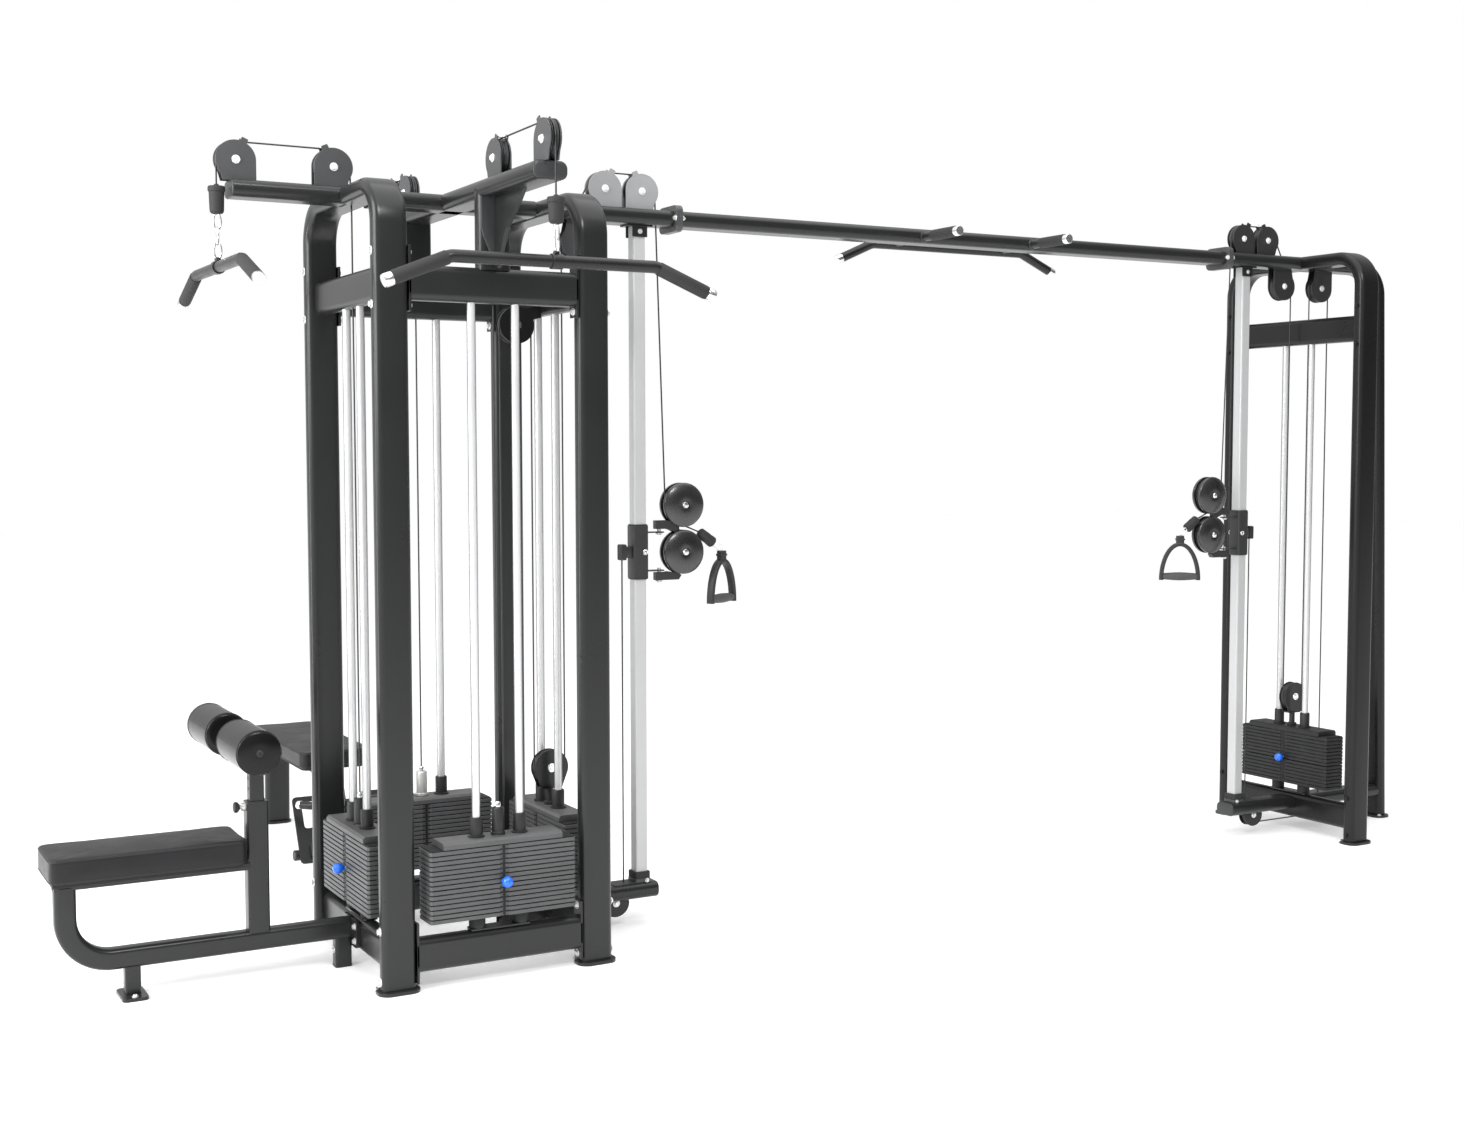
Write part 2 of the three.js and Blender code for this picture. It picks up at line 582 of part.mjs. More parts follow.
// Stirrup handle with rope stop and snap hook; `yaw` turns the stirrup about its hook.
const BOW = [[-70, -176], [-64, -96], [0, RING_Z - 20], [64, -96], [70, -176]];
const HOOK = [[262, 31], [RING_X - 14, RING_Z + 10], [RING_X - 4, RING_Z - 6]];
const stirrup = (yaw) => join(
  rod("x", 17, -26, 26, [0, 0, 0], 10).rotateY(radians(36)).translate(247, 0, 42),
  sweep(disc(6, 6), "y", 0, HOOK),
  join(
    prism(rounded(30, 24, 5, 2), "z", RING_Z - 34, RING_Z + 4),
    sweep(disc(9, 6), "y", 0, BOW, [50, 14, 50], 2),
    rod("x", 14, -70, 70, [0, 0, -161]),
  ).rotateZ(radians(yaw)).translate(RING_X, 0, 0),
);
// Stations: [side, x, turn in degrees, yaw of the stirrup].
for (const [side, x, degrees, yaw] of [["right", COLUMN_X, 0, 30], ["far", far(COLUMN_X), 180, -36]]) {
  const place = (geometry) => geometry.rotateZ(radians(degrees)).translate(x, 0, CARRIAGE_Z);
  put("carriage_" + side, place(carriage()), "plate");
  put("carriage_pin_" + side, place(carriagePin()), "rubber");
  put("swivel_" + side, place(swivel()), "disc");
  for (const [level, z] of Object.entries(WHEELS)) {
    const wheel = turned(wheelProfile(64, 16, 1, 1.5), "y", [WHEEL_X, 0, z], 16);
    put(`carriage_wheel_${level}_${side}`, place(wheel), "wheel");
  }
  put("handle_" + side, place(stirrup(yaw)), "rubber");
}

// ---------- lat bars ----------
// Bar with dropped ends in the plane normal = level, its rope and the rope stop.
const latBar = ({ normal, level, radius, z, endHalf, bendHalf, stopLow, stopTop }) => {
  const at = normal === "y" ? [0, level, 0] : [level, 0, 0];
  return join(
    sweep(disc(radius, 12), normal, level, barCorners([endHalf, z - 72], [bendHalf, z]), 50, 3),
    rod("z", 7, z + 6, stopLow + 5, at, 8),
    rod("z", 24, stopLow, stopTop, at),
  );
};
put("lat_bar_front", latBar({
  normal: "y", level: -787, radius: 17, z: 2031,
  endHalf: 470, bendHalf: 292, stopLow: 2132, stopTop: 2199,
}), "rubber");
put("lat_bar_left", latBar({
  normal: "x", level: -696, radius: 16, z: 2053,
  endHalf: 462, bendHalf: 270, stopLow: 2205, stopTop: 2280,
}), "rubber");

// ---------- lat seat, left of the core tower ----------
const SEAT_Z = 364; // underside of the pad
const SEAT_END_X = -1148; // upright at the outer end of the seat tube
const SEAT_TUBE = [[-ARCH_X - 27, 116], [SEAT_END_X, 116], [SEAT_END_X, 335]];
const PROP_X = -972; // prop under the seat tube
const POST_X = -617; // knee post and its sleeve
const POST_LONG = 42; // knee post section
const POST_WIDE = 38;
const POST_PIN_Z = 508;
const KNEE_X = -680; // knee roller axle
const KNEE_Z = 712;

put("seat_frame", cut(
  join(
    sweep(rounded(50, 60, 14), "y", 0, SEAT_TUBE, 125, 5),
    // pad plate and the bar below it
    box(-1190, -650, -95, 95, SEAT_Z - 12, SEAT_Z),
    prism(rounded(50, 30, 8, 2), "x", -1178, -640, [0, 0, 340]),
    // sleeve of the knee post
    prism(rounded(62, 50, 6, 2), "z", 100, 524, [POST_X, 0, 0]),
    // prop and its foot, short prop next to the tower, mounting plate
    prism(rounded(44, 40, 8, 2), "z", 8, 100, [PROP_X, 0, 0]),
    prism(rounded(72, 120, 14), "z", 0, FOOT, [PROP_X, 0, 0]),
    prism(rounded(50, 40, 8, 2), "z", 0, 100, [-368, 0, 0]),
    prism(rounded(130, 84, 10), "x", -ARCH_X - 37, -ARCH_X - 25.3, [0, 0, 104]),
  ),
  prism(rounded(POST_LONG + 0.8, POST_WIDE + 0.8, 4, 2), "z", 160, 560, [POST_X, 0, 0]),
  rod("x", 5.3, -660, -630, [0, 0, POST_PIN_Z]),
), "frame");
put("seat_pad", prism(rounded(538, 240, 24, 4), "z", SEAT_Z, 437, [-934, 0, 0]), "vinyl");
put("knee_post", join(
  prism(rounded(POST_LONG, POST_WIDE, 4, 2), "z", 240, 721, [POST_X, 0, 0]),
  prism(rounded(100, POST_WIDE, 8, 2), "z", KNEE_Z - 13, KNEE_Z + 13, [-646, 0, 0]),
  rod("y", 9, -323, 323, [KNEE_X, 0, KNEE_Z]),
  prism(rounded(34, POST_WIDE, 10, 2), "z", KNEE_Z - 19, KNEE_Z + 19, [KNEE_X, 0, 0]),
), "frame");
// Knob of the knee post pin: [radius, x].
const POST_KNOB = [[0, -681], [13, -681], [16, -678], [16, -670], [9, -664], [0, -664]];
put("knee_post_pin", join(
  rod("x", 5, -664, -641, [0, 0, POST_PIN_Z]),
  turned(POST_KNOB, "x", [0, 0, POST_PIN_Z], 12),
), "rubber");
// Knee roller: [radius, distance from the middle plane].
const ROLLER = [[9.4, 60], [56, 60], [63, 67], [63, 304], [56, 311], [9.4, 311], [9.4, 60]];
for (const [side, k] of [["near", -1], ["far", 1]]) {
  const profile = ROLLER.map(([radius, out]) => [radius, out * k]);
  put("knee_roller_" + side, turned(profile, "y", [KNEE_X, 0, KNEE_Z], 16), "vinyl");
}

// ---------- row station ----------
const ROW_HANDLE_Z = 270;
const ROW_PAD_Z = SEAT_RAIL_Z + TUBE_THIN / 2 + 0.3; // just clear of the seat rail
put("row_bench_pad", prism(rounded(274, 770, 34), "z", ROW_PAD_Z, 432, [0, 1655, 0]), "vinyl");
put("row_handle", join(
  sweep(disc(14, 10), "z", ROW_HANDLE_Z, barCorners([190, 1120], [150, 1075]), 30, 3),
  rod("y", 7, 1010, 1072, [0, 0, ROW_HANDLE_Z], 10),
  rod("y", 15, 960, 1014, [0, 0, ROW_HANDLE_Z]),
), "rubber");

export default group;
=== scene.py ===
"""Multi-station cable gym with five weight stacks.

The core tower stands about the origin with four stacks: front (-Y), rear (+Y), left (-X)
and right (+X). A lat bar hangs in front and another over the seat on the left; the row
bench runs out to the rear. A crossover beam leads along +X to the outer tower, and each
end of the beam has a column with a sliding carriage. Lengths are in millimetres about the
middle of the core tower; `to_row` moves them into the row frame in metres.
"""
import math

import bpy
from mathutils import Matrix, Vector
from mathutils.bvhtree import BVHTree


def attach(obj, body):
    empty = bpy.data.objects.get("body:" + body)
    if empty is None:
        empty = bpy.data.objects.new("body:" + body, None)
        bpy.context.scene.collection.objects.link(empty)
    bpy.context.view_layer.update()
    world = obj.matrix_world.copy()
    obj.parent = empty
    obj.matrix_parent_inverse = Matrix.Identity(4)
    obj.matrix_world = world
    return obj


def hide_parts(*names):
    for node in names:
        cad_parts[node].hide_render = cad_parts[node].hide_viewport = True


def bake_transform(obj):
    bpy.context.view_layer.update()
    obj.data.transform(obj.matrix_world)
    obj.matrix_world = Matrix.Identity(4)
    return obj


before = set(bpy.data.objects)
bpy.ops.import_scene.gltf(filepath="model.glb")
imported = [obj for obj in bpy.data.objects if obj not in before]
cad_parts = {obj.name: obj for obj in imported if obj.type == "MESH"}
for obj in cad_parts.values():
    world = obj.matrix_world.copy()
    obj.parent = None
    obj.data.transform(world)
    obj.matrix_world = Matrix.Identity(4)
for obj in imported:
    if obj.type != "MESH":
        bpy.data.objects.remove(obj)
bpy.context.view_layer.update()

# ---------------------------------------------------------------- layout, millimetres
SIDE_X, END_Y, OUTER_X = 307.0, 333.0, 3572.0  # centres of the core and outer uprights
CORE_MIDDLE = (SIDE_X, END_Y)  # in the row frame
HEIGHT = 2300.0
WIDE, THIN, CORNER = 100.0, 50.0, 20.0  # section of the frame tube
BEND = 110.0
BEAM_Z = HEIGHT - THIN / 2
UPPER_LOW, LOWER_LOW = 1953.0, 50.0  # undersides of the cross rails
UPPER_TOP, LOWER_TOP = UPPER_LOW + WIDE, LOWER_LOW + WIDE
UPPER_Z, LOWER_Z = UPPER_LOW + WIDE / 2, LOWER_LOW + WIDE / 2
RAIL_END = SIDE_X - 50
CORNER_BOLTS = (UPPER_TOP + 34, UPPER_LOW - 13, LOWER_TOP + 30, 35)
FOOT = 10.0  # foot plate thickness
BASE_Z = 112
COLUMN_X = 620.0
JOINT_X, FLANGE = 732, 12  # bolted joint of the crossover beam

WHEEL_Z, WHEEL_R, GROOVE_R = 2357.0, 55.0, 52.0
CHEEK_IN, CHEEK_OUT = 13.0, 17.0  # faces of the cheek plates beside a wheel
FRONT_OUTER, FRONT_INNER = -735, -END_Y - GROOVE_R
REAR_OUTER, REAR_INNER = 530, END_Y + GROOVE_R
LEFT_OUTER, LEFT_INNER = -644, -363
RIGHT_OUTER, RIGHT_INNER = 633, 504
HANG, HANG_Z = 2 * GROOVE_R, 2183  # hanging wheels: offset from the upright, height
DEFLECT_X, DEFLECT_Z = SIDE_X - HANG, 1921
BASE_GROOVE, BASE_X, BASE_WHEEL_Z, INNER_BASE_Z = 34, 529, 77, 59
BASE_OFFSET = 3 * GROOVE_R - BASE_GROOVE
ROW_WHEEL_Y, ROW_WHEEL_Z = 634, 165
FRONT_BAR_Y, LEFT_BAR_X = FRONT_OUTER - GROOVE_R, LEFT_OUTER - GROOVE_R

STACK_Z, PITCH, PLATES, HEAD_THICK = 190.0, 14.0, 15, 21.0
PLATE_LENGTH, PLATE_DEPTH = 450.0, 100.0
ROD_X, ROD_R = 67.0, 12.5
HEAD_TOP = STACK_Z + PLATES * PITCH + HEAD_THICK
TRAVEL_Z = HEAD_TOP + 118  # axle of a travelling wheel

CARRIAGE_Z = 1210.0
AXLE_X, UPPER_AXLE, LOWER_AXLE = 159.0, 149.0, -4.0  # swivel wheels, from the carriage
SWIVEL_GROOVE = 60
PIN_X, TAB = 76.0, 62.0
HANDLE_X, HANDLE_Z = 308.0, -8.0
X, Y, Z = Vector((1, 0, 0)), Vector((0, 1, 0)), Vector((0, 0, 1))
AXES = {"x": X, "y": Y, "z": Z}
ORIGIN = (0, 0, 0)
ROPE_STOP = Vector((247, 0, 42))
ROPE_WAY = Vector((math.cos(math.radians(-36)), 0, math.sin(math.radians(-36))))


def far(x):
    """x of the right station carried over to the outer tower, facing back."""
    return OUTER_X + SIDE_X - x


def same(x):
    return x


# ---------------------------------------------------------------- materials


class Graph:
    """Adds nodes to a shader tree; inputs are values or sockets to link."""

    def __init__(self, tree):
        self.tree = tree

    def feed(self, node, inputs):
        for key, value in inputs.items():
            if isinstance(value, bpy.types.NodeSocket):
                self.tree.links.new(value, node.inputs[key])
            else:
                node.inputs[key].default_value = value

    def add(self, kind, inputs, **settings):
        node = self.tree.nodes.new("ShaderNode" + kind)
        for key, value in settings.items():
            setattr(node, key, value)
        self.feed(node, inputs)
        return node

    def use_object_space(self):
        place = self.add("TexCoord", {}).outputs["Object"]
        self.vector = self.add("Mapping", {"Vector": place}).outputs["Vector"]

    def noise(self, scale, detail=4.0, rough=0.55):
        inputs = {"Vector": self.vector, "Scale": scale, "Detail": detail, "Roughness": rough}
        return self.add("TexNoise", inputs).outputs["Fac"]

    def remap(self, value, source, target):
        inputs = {"Value": value, "From Min": source[0], "From Max": source[1],
                  "To Min": target[0], "To Max": target[1]}
        return self.add("MapRange", inputs).outputs["Result"]

    def mix(self, factor, first, second):
        return self.add("Mix", {0: factor, 6: first, 7: second}, data_type="RGBA").outputs[2]

    def math(self, operation, first, second):
        return self.add("Math", {0: first, 1: second}, operation=operation).outputs[0]


def new_material(name, metal, coat, spec):
    material = bpy.data.materials.new(name)
    material.use_nodes = True
    graph = Graph(material.node_tree)
    shader = material.node_tree.nodes["Principled BSDF"]
    graph.feed(shader, {"Metallic": metal, "Coat Weight": coat, "Coat Roughness": 0.25,
                        "Specular IOR Level": spec})
    return material, graph, shader


def plain(name, colour, rough, metal=0.0, coat=0.0):
    """Even surface, for small parts."""
    material, graph, shader = new_material(name, metal, coat, 0.5)
    graph.feed(shader, {"Base Color": (*colour, 1), "Roughness": rough})
    return material


def worn_edges_with_painted_highlight(graph, colour, amount):
    """Lighter grey patches where the rounded normal leaves the true one: partly edge wear, partly a
    painted highlight along the edges.
    """
    bevel = graph.add("Bevel", {"Radius": 0.0016}, samples=3)
    true = graph.add("NewGeometry", {}).outputs["Normal"]
    dot = graph.add("VectorMath", {0: bevel.outputs["Normal"], 1: true}, operation="DOT_PRODUCT")
    wear_and_highlight = graph.remap(dot.outputs["Value"], (0.995, 0.90), (0.0, amount))
    patch = graph.remap(graph.noise(38.0, 5.0), (0.5, 0.68), (0.0, 1.0))
    return graph.mix(graph.math("MULTIPLY", wear_and_highlight, patch), colour, (0.35, 0.35, 0.36, 1))


def dusted(graph, colour, patches, amount):
    """Dust on faces that look up."""
    normal = graph.add("NewGeometry", {}).outputs["Normal"]
    height = graph.add("SeparateXYZ", {0: normal}).outputs["Z"]
    upward = graph.remap(height, (0.55, 1.0), (0.0, amount))
    patch = graph.remap(patches, (0.3, 0.7), (0.4, 1.0))
    return graph.mix(graph.math("MULTIPLY", upward, patch), colour, (0.42, 0.41, 0.39, 1))


def leather_height(graph):
    cells = graph.add("TexVoronoi", {"Scale": 620.0, "Vector": graph.vector}).outputs["Distance"]
    return graph.math("ADD", graph.math("MULTIPLY", cells, 0.7),
                      graph.math("MULTIPLY", graph.noise(60.0, 5.0), 1.4))


def textured(name, colour, rough, metal=0.0, coat=0.0, spec=0.5, tint=0.12, vary=0.08,
             patch=5.0, grain=900.0, bump=0.0, depth=0.0002, edge=0.0, dust=0.0,
             leather=False, smudge=0.0, rim=0.0):
    """Surface with patches of tint and roughness. patch and grain are noise scales, vary is
    the spread of roughness, bump and depth its relief, rim paints shade on the grazing faces
    (a painted reflection)."""
    material, graph, shader = new_material(name, metal, coat, spec)
    graph.use_object_space()
    patches = graph.noise(patch)
    base = graph.mix(graph.remap(patches, (0.3, 0.7), (0.0, 1.0)),
                     (*[c * (1 - tint) for c in colour], 1),
                     (*[min(1.0, c * (1 + tint)) for c in colour], 1))
    # edge lightens the edges: partly wear, partly a painted highlight
    if edge:
        base = worn_edges_with_painted_highlight(graph, base, edge)
    if dust:
        base = dusted(graph, base, patches, dust)
    # rim: painted reflection, the colour goes dark grey where the face turns away from the view
    if rim:
        facing = graph.add("LayerWeight", {"Blend": 0.5}).outputs["Facing"]
        base = graph.mix(graph.remap(facing, (0.22, 0.70), (0.0, rim)), base,
                         (0.03, 0.03, 0.032, 1))
    gloss = graph.remap(patches, (0.25, 0.75), (max(0.02, rough - vary), min(1.0, rough + vary)))
    if smudge:
        smears = graph.remap(graph.noise(22.0, 6.0, 0.7), (0.5, 0.8), (0.0, smudge))
        gloss = graph.math("ADD", gloss, smears)
    graph.feed(shader, {"Base Color": base, "Roughness": gloss})
    if bump:
        height = leather_height(graph) if leather else graph.noise(grain, 2.0)
        relief = graph.add("Bump", {"Strength": bump, "Distance": depth, "Height": height})
        graph.feed(shader, {"Normal": relief.outputs["Normal"]})
    return material


# settings shared by related surfaces
POWDER = dict(rough=0.28, bump=0.10, depth=0.00015, dust=0.02, vary=0.01)
GUARD = dict(bump=0.25, smudge=0.06)
IRON = dict(rough=0.46, bump=0.35, grain=600, depth=0.0003, tint=0.14, smudge=0.12)
POLISHED = dict(vary=0.02, patch=3)
VINYL = dict(leather=True, patch=9)

MATERIALS = {
    "frame": textured("powder_coat", colour=(0.0150, 0.0154, 0.0158), coat=0.22, spec=0.28,
                      tint=0.03, **POWDER),
    # darker copy of the powder coat: painted shade on the outer tower and the deflection bracket
    "frame_painted_shade": textured("powder_coat_painted_shade", colour=(0.0075, 0.0075, 0.008), coat=0.2,
                           spec=0.22, tint=0.04, **POWDER),
    "plug": textured("end_plug", colour=(0.034, 0.035, 0.036), rough=0.38, coat=0.1,
                     spec=0.35, bump=0.2, tint=0.08, vary=0.05, smudge=0.05),
    "guard_light": textured("guard_coat_light", colour=(0.26, 0.263, 0.268), rough=0.42,
                            coat=0.15, edge=0.3, tint=0.06, **GUARD),
    # darker copy of the guard coat: painted shade on the outer tower's guards
    "guard_painted_shade": textured("guard_coat_painted_shade", colour=(0.022, 0.022, 0.023), rough=0.40,
                           coat=0.2, edge=0.3, tint=0.08, **GUARD),
    "guard": textured("guard_coat", colour=(0.052, 0.053, 0.055), rough=0.42, coat=0.1,
                      spec=0.35, edge=0.4, tint=0.08, **GUARD),
    "flange": plain("flange_coat", colour=(0.05, 0.051, 0.053), rough=0.38, coat=0.2),
    "bright": plain("bright_bolt", colour=(0.90, 0.90, 0.89), rough=0.34, metal=0.45),
    "chrome": plain("chrome", colour=(0.86, 0.865, 0.87), rough=0.14, metal=0.92),
    "column": textured("polished_column", colour=(0.50, 0.503, 0.507), rough=0.36,
                       metal=0.25, spec=0.35, tint=0.02, **POLISHED),
    # rim paints a reflection on the rods: dark edges on a light rod
    "rod": textured("guide_rod_chrome", colour=(0.66, 0.664, 0.67), rough=0.26, metal=0.35,
                    spec=0.4, tint=0.015, rim=0.9, **POLISHED),
    "zinc": plain("zinc_bolt", colour=(0.74, 0.74, 0.72), rough=0.36, metal=0.65),
    # darker copy of the plate coat: painted shade on the outer tower's stack
    "stack_dark": textured("weight_plate_painted_shade", colour=(0.016, 0.016, 0.0165), coat=0.03,
                           spec=0.3, edge=0.4, **IRON),
    "stack": textured("weight_plate", colour=(0.082, 0.083, 0.085), coat=0.04, spec=0.4,
                      edge=0.5, dust=0.08, **IRON),
    # black that paints the shade in holes and gaps: pin holes, gaps between plates, knee slots
    "dark": plain("painted_shade_black", colour=(0.006, 0.006, 0.006), rough=0.7),
    "wheel": plain("wheel_nylon", colour=(0.013, 0.013, 0.014), rough=0.42),
    "dome": textured("dome_cover", colour=(0.011, 0.011, 0.012), rough=0.26, coat=0.7,
                     bump=0.18, grain=1100, tint=0.15, smudge=0.12, patch=16),
    "plastic": plain("black_plastic", colour=(0.014, 0.014, 0.015), rough=0.46),
    "carriage": textured("carriage_coat", colour=(0.018, 0.018, 0.019), rough=0.38,
                         coat=0.15, bump=0.3, edge=0.45, smudge=0.08),
    "blue": plain("blue_knob", colour=(0.010, 0.15, 0.85), rough=0.26, coat=0.4),
    "rubber": plain("rubber", colour=(0.016, 0.016, 0.017), rough=0.72),
    "grip": textured("grip_rubber", colour=(0.055, 0.056, 0.058), rough=0.68, bump=0.45,
                     grain=800, depth=0.0003, tint=0.15, patch=25),
    "bar": textured("black_bar", colour=(0.013, 0.013, 0.014), rough=0.30, coat=0.1,
                    spec=0.3, bump=0.15, grain=700, depth=0.0003, smudge=0.1, patch=12,
                    edge=0.3),
    "roll_vinyl": textured("roller_vinyl", colour=(0.007, 0.007, 0.0074), rough=0.20,
                           coat=0.06, spec=0.18, bump=0.16, depth=0.0004, vary=0.04,
                           smudge=0.04, **VINYL),
    "vinyl": textured("vinyl", colour=(0.013, 0.013, 0.014), rough=0.38, coat=0.02,
                      spec=0.26, bump=0.30, depth=0.0006, vary=0.07, smudge=0.07, **VINYL),
    "seam": plain("seam_thread", colour=(0.010, 0.010, 0.010), rough=0.65),
    "board": plain("pad_board", colour=(0.014, 0.014, 0.014), rough=0.7),
    "cable": plain("cable_jacket", colour=(0.018, 0.018, 0.018), rough=0.40, coat=0.15),
    "tread": textured("tread_plate", colour=(0.03, 0.03, 0.031), rough=0.5, bump=0.5,
                      grain=220, depth=0.0008, edge=0.3, tint=0.15),
}

# ---------------------------------------------------------------- outlines and placing
# A geometry is a pair (vertices, faces).

translate = Matrix.Translation


def turn(degrees, axis):
    return Matrix.Rotation(math.radians(degrees), 4, axis)


def aim(at, direction):
    """Matrix that carries +Z to direction and the origin to at."""
    return translate(at) @ Z.rotation_difference(Vector(direction)).to_matrix().to_4x4()


def around(cx, cy, radius, angles, radius_y=None):
    """2-D points on a circle or ellipse at the given degrees."""
    radius_y = radius if radius_y is None else radius_y
    return [(cx + radius * math.cos(math.radians(a)), cy + radius_y * math.sin(math.radians(a)))
            for a in angles]


def circle(radius, sides=20):
    return around(0, 0, radius, [360 * i / sides for i in range(sides)])


def rounded(width, height, radius, steps=6):
    """Rectangle with rounded corners."""
    points = []
    for i, (sx, sy) in enumerate(((1, 1), (-1, 1), (-1, -1), (1, -1))):
        points += around(sx * (width / 2 - radius), sy * (height / 2 - radius), radius,
                         [90 * i + 90 * j / steps for j in range(steps + 1)])
    return points


def moved(points, x, y):
    return [(p + x, q + y) for p, q in points]


def signed(profile, sign):
    """Lathe profile with its offsets multiplied by sign."""
    return [(radius, sign * offset) for radius, offset in profile]


def fillet(corners, radii, steps):
    """Open 2-D path whose inner corners are rounded by the given radii."""
    corners = [Vector(c) for c in corners]
    path = corners[:1]
    for before, corner, after, radius in zip(corners, corners[1:], corners[2:], radii):
        back, ahead = (before - corner).normalized(), (after - corner).normalized()
        half = math.acos(back.dot(ahead)) / 2
        centre = corner + (back + ahead).normalized() * (radius / math.sin(half))
        start, end = [corner + way * (radius / math.tan(half)) - centre for way in (back, ahead)]
        first = math.atan2(start.y, start.x)
        sweep_angle = math.atan2(end.y, end.x) - first
        sweep_angle = (sweep_angle + math.pi) % (2 * math.pi) - math.pi
        angles = [first + sweep_angle * k / steps for k in range(steps + 1)]
        path += [centre + Vector((radius * math.cos(a), radius * math.sin(a))) for a in angles]
    return path + corners[-1:]


def on_axis(axis, p, q, depth):
    return {"z": (p, q, depth), "y": (p, depth, q), "x": (depth, p, q)}[axis]


def in_plane(points, axis, offset=0):
    """2-D points set in the plane square to an axis."""
    return [Vector(on_axis(axis, p, q, offset)) for p, q in points]


def arc(cx, cy, radius, start, end, axis="y"):
    return in_plane(around(cx, cy, radius, [start + (end - start) * i / 24 for i in range(25)]),
                    axis)


def oval(centre, first, second, sides):
    """Closed 3-D ring with two half axes."""
    angles = [2 * math.pi * i / sides for i in range(sides)]
    return [centre + first * math.cos(a) + second * math.sin(a) for a in angles]


def merge(*parts):
    vertices, faces = [], []
    for part_vertices, part_faces in parts:
        start = len(vertices)
        vertices += part_vertices
        faces += [[i + start for i in face] for face in part_faces]
    return vertices, faces


def placed(geometry, matrix):
    return [matrix @ Vector(p) for p in geometry[0]], geometry[1]


# ---------------------------------------------------------------- solids


def skin(rows, sides, closed=False):
    """Faces between successive rings, with end caps unless closed."""
    faces = []
    for i in range(rows if closed else rows - 1):
        a, b = i * sides, (i + 1) % rows * sides
        for j in range(sides):
            k = (j + 1) % sides
            faces.append([a + j, a + k, b + k, b + j])
    if not closed:
        faces += [list(range(sides))[::-1], list(range((rows - 1) * sides, rows * sides))]
    return faces


def flipped(faces):
    return [face[::-1] for face in faces]


def prism(shape, axis, start, end, at=ORIGIN):
    vertices = [Vector(on_axis(axis, p, q, depth)) + Vector(at)
                for depth in sorted((start, end)) for p, q in shape]
    area = sum(a[0] * b[1] - b[0] * a[1] for a, b in zip(shape, shape[1:] + shape[:1]))
    faces = skin(2, len(shape))
    return vertices, flipped(faces) if (area < 0) != (axis == "y") else faces


def sleeve(outer, inner, axis, start, end, at=ORIGIN):
    """Prism with a bore; both outlines have the same number of points."""
    vertices = [Vector(on_axis(axis, p, q, depth)) + Vector(at)
                for depth in (start, end) for ring in (outer, inner) for p, q in ring]
    n = len(outer)
    faces = []
    for i in range(n):
        j = (i + 1) % n
        faces += [[i, j, 2 * n + j, 2 * n + i], [n + j, n + i, 3 * n + i, 3 * n + j],
                  [j, i, n + i, n + j], [2 * n + i, 2 * n + j, 3 * n + j, 3 * n + i]]
    return vertices, flipped(faces) if axis == "y" else faces


def box(x0, x1, y0, y1, z0, z1):
    return prism([(x0, y0), (x1, y0), (x1, y1), (x0, y1)], "z", z0, z1)


def cylinder(axis, radius, start, end, at=ORIGIN, sides=24):
    return prism(circle(radius, sides), axis, start, end, at)


def box_tube(axis, start, end, at, width=THIN, height=WIDE):
    return prism(rounded(width, height, CORNER, 8), axis, start, end, at)


def lathe(profile, axis="z", at=ORIGIN, sides=40):
    """Turned profile of (radius, offset); it closes on itself if its ends meet."""
    closed = profile[0] == profile[-1]
    vertices, rows = [], []
    for radius, offset in profile[:-1] if closed else profile:
        if radius < 1e-6:
            rows.append([len(vertices)] * sides)
            vertices.append(Vector((0, 0, offset)))
        else:
            rows.append(list(range(len(vertices), len(vertices) + sides)))
            vertices += in_plane(circle(radius, sides), "z", offset)
    faces = []
    for a, b in zip(rows, rows[1:] + rows[:1] if closed else rows[1:]):
        for i in range(sides):
            j = (i + 1) % sides
            face = [a[i], a[j], b[j], b[i]]
            face = [v for k, v in enumerate(face) if v != face[k - 1]]
            if len(face) > 2:
                faces.append(face)
    stand = {"z": Matrix.Identity(4), "x": turn(90, "Y"), "y": turn(-90, "X")}[axis]
    return placed((vertices, faces), translate(at) @ stand)


def hoop(profile, axis="z", at=ORIGIN, sides=40):
    """Turned ring whose profile closes on its first point."""
    return lathe(profile + profile[:1], axis, at, sides)


def steps_of(points):
    return [(b - a).normalized() for a, b in zip(points, points[1:])]


def tangents(points):
    steps = steps_of(points)
    return [(a + b).normalized() for a, b in zip([Vector()] + steps, steps + [Vector()])]


def sweep(shape, points, axis):
    """Outline (a, b) along a path square to axis: a lies along axis, b across it."""
    vertices = []
    steps = steps_of(points)
    for point, tangent, step in zip(points, tangents(points), steps + steps[-1:]):
        across = tangent.cross(AXES[axis]).normalized()
        side = across.cross(tangent).normalized()
        miter = 1 / max(0.5, tangent.dot(step))
        vertices += [point + side * a + across * b * miter for a, b in shape]
    return vertices, flipped(skin(len(points), len(shape)))


def round_skin(points, ways, radius, sides, closed):
    """Round tube with a carried frame; ways are the tangents."""
    vertices = []
    side = ways[0].orthogonal().normalized()
    for point, way in zip(points, ways):
        side = (side - way * side.dot(way)).normalized()
        across = way.cross(side)
        vertices += [point + side * p + across * q for p, q in circle(radius, sides)]
    return vertices, skin(len(points), sides, closed)


def loop(points, radius, sides=8):
    """Closed ring of round section."""
    ways = [(b - a).normalized() for a, b in zip(points[-1:] + points, points[1:] + points[:1])]
    return round_skin(points, ways, radius, sides, True)


def at_tips(geometry, path):
    """Copies at both ends of a path, +Z outward."""
    ends = ((path[0], path[1]), (path[-1], path[-2]))
    return merge(*[placed(geometry, aim(a, a - b)) for a, b in ends])


# ---------------------------------------------------------------- objects


def to_row(point):
    return ((point[0] + CORE_MIDDLE[0]) / 1000, (point[1] + CORE_MIDDLE[1]) / 1000,
            point[2] / 1000)


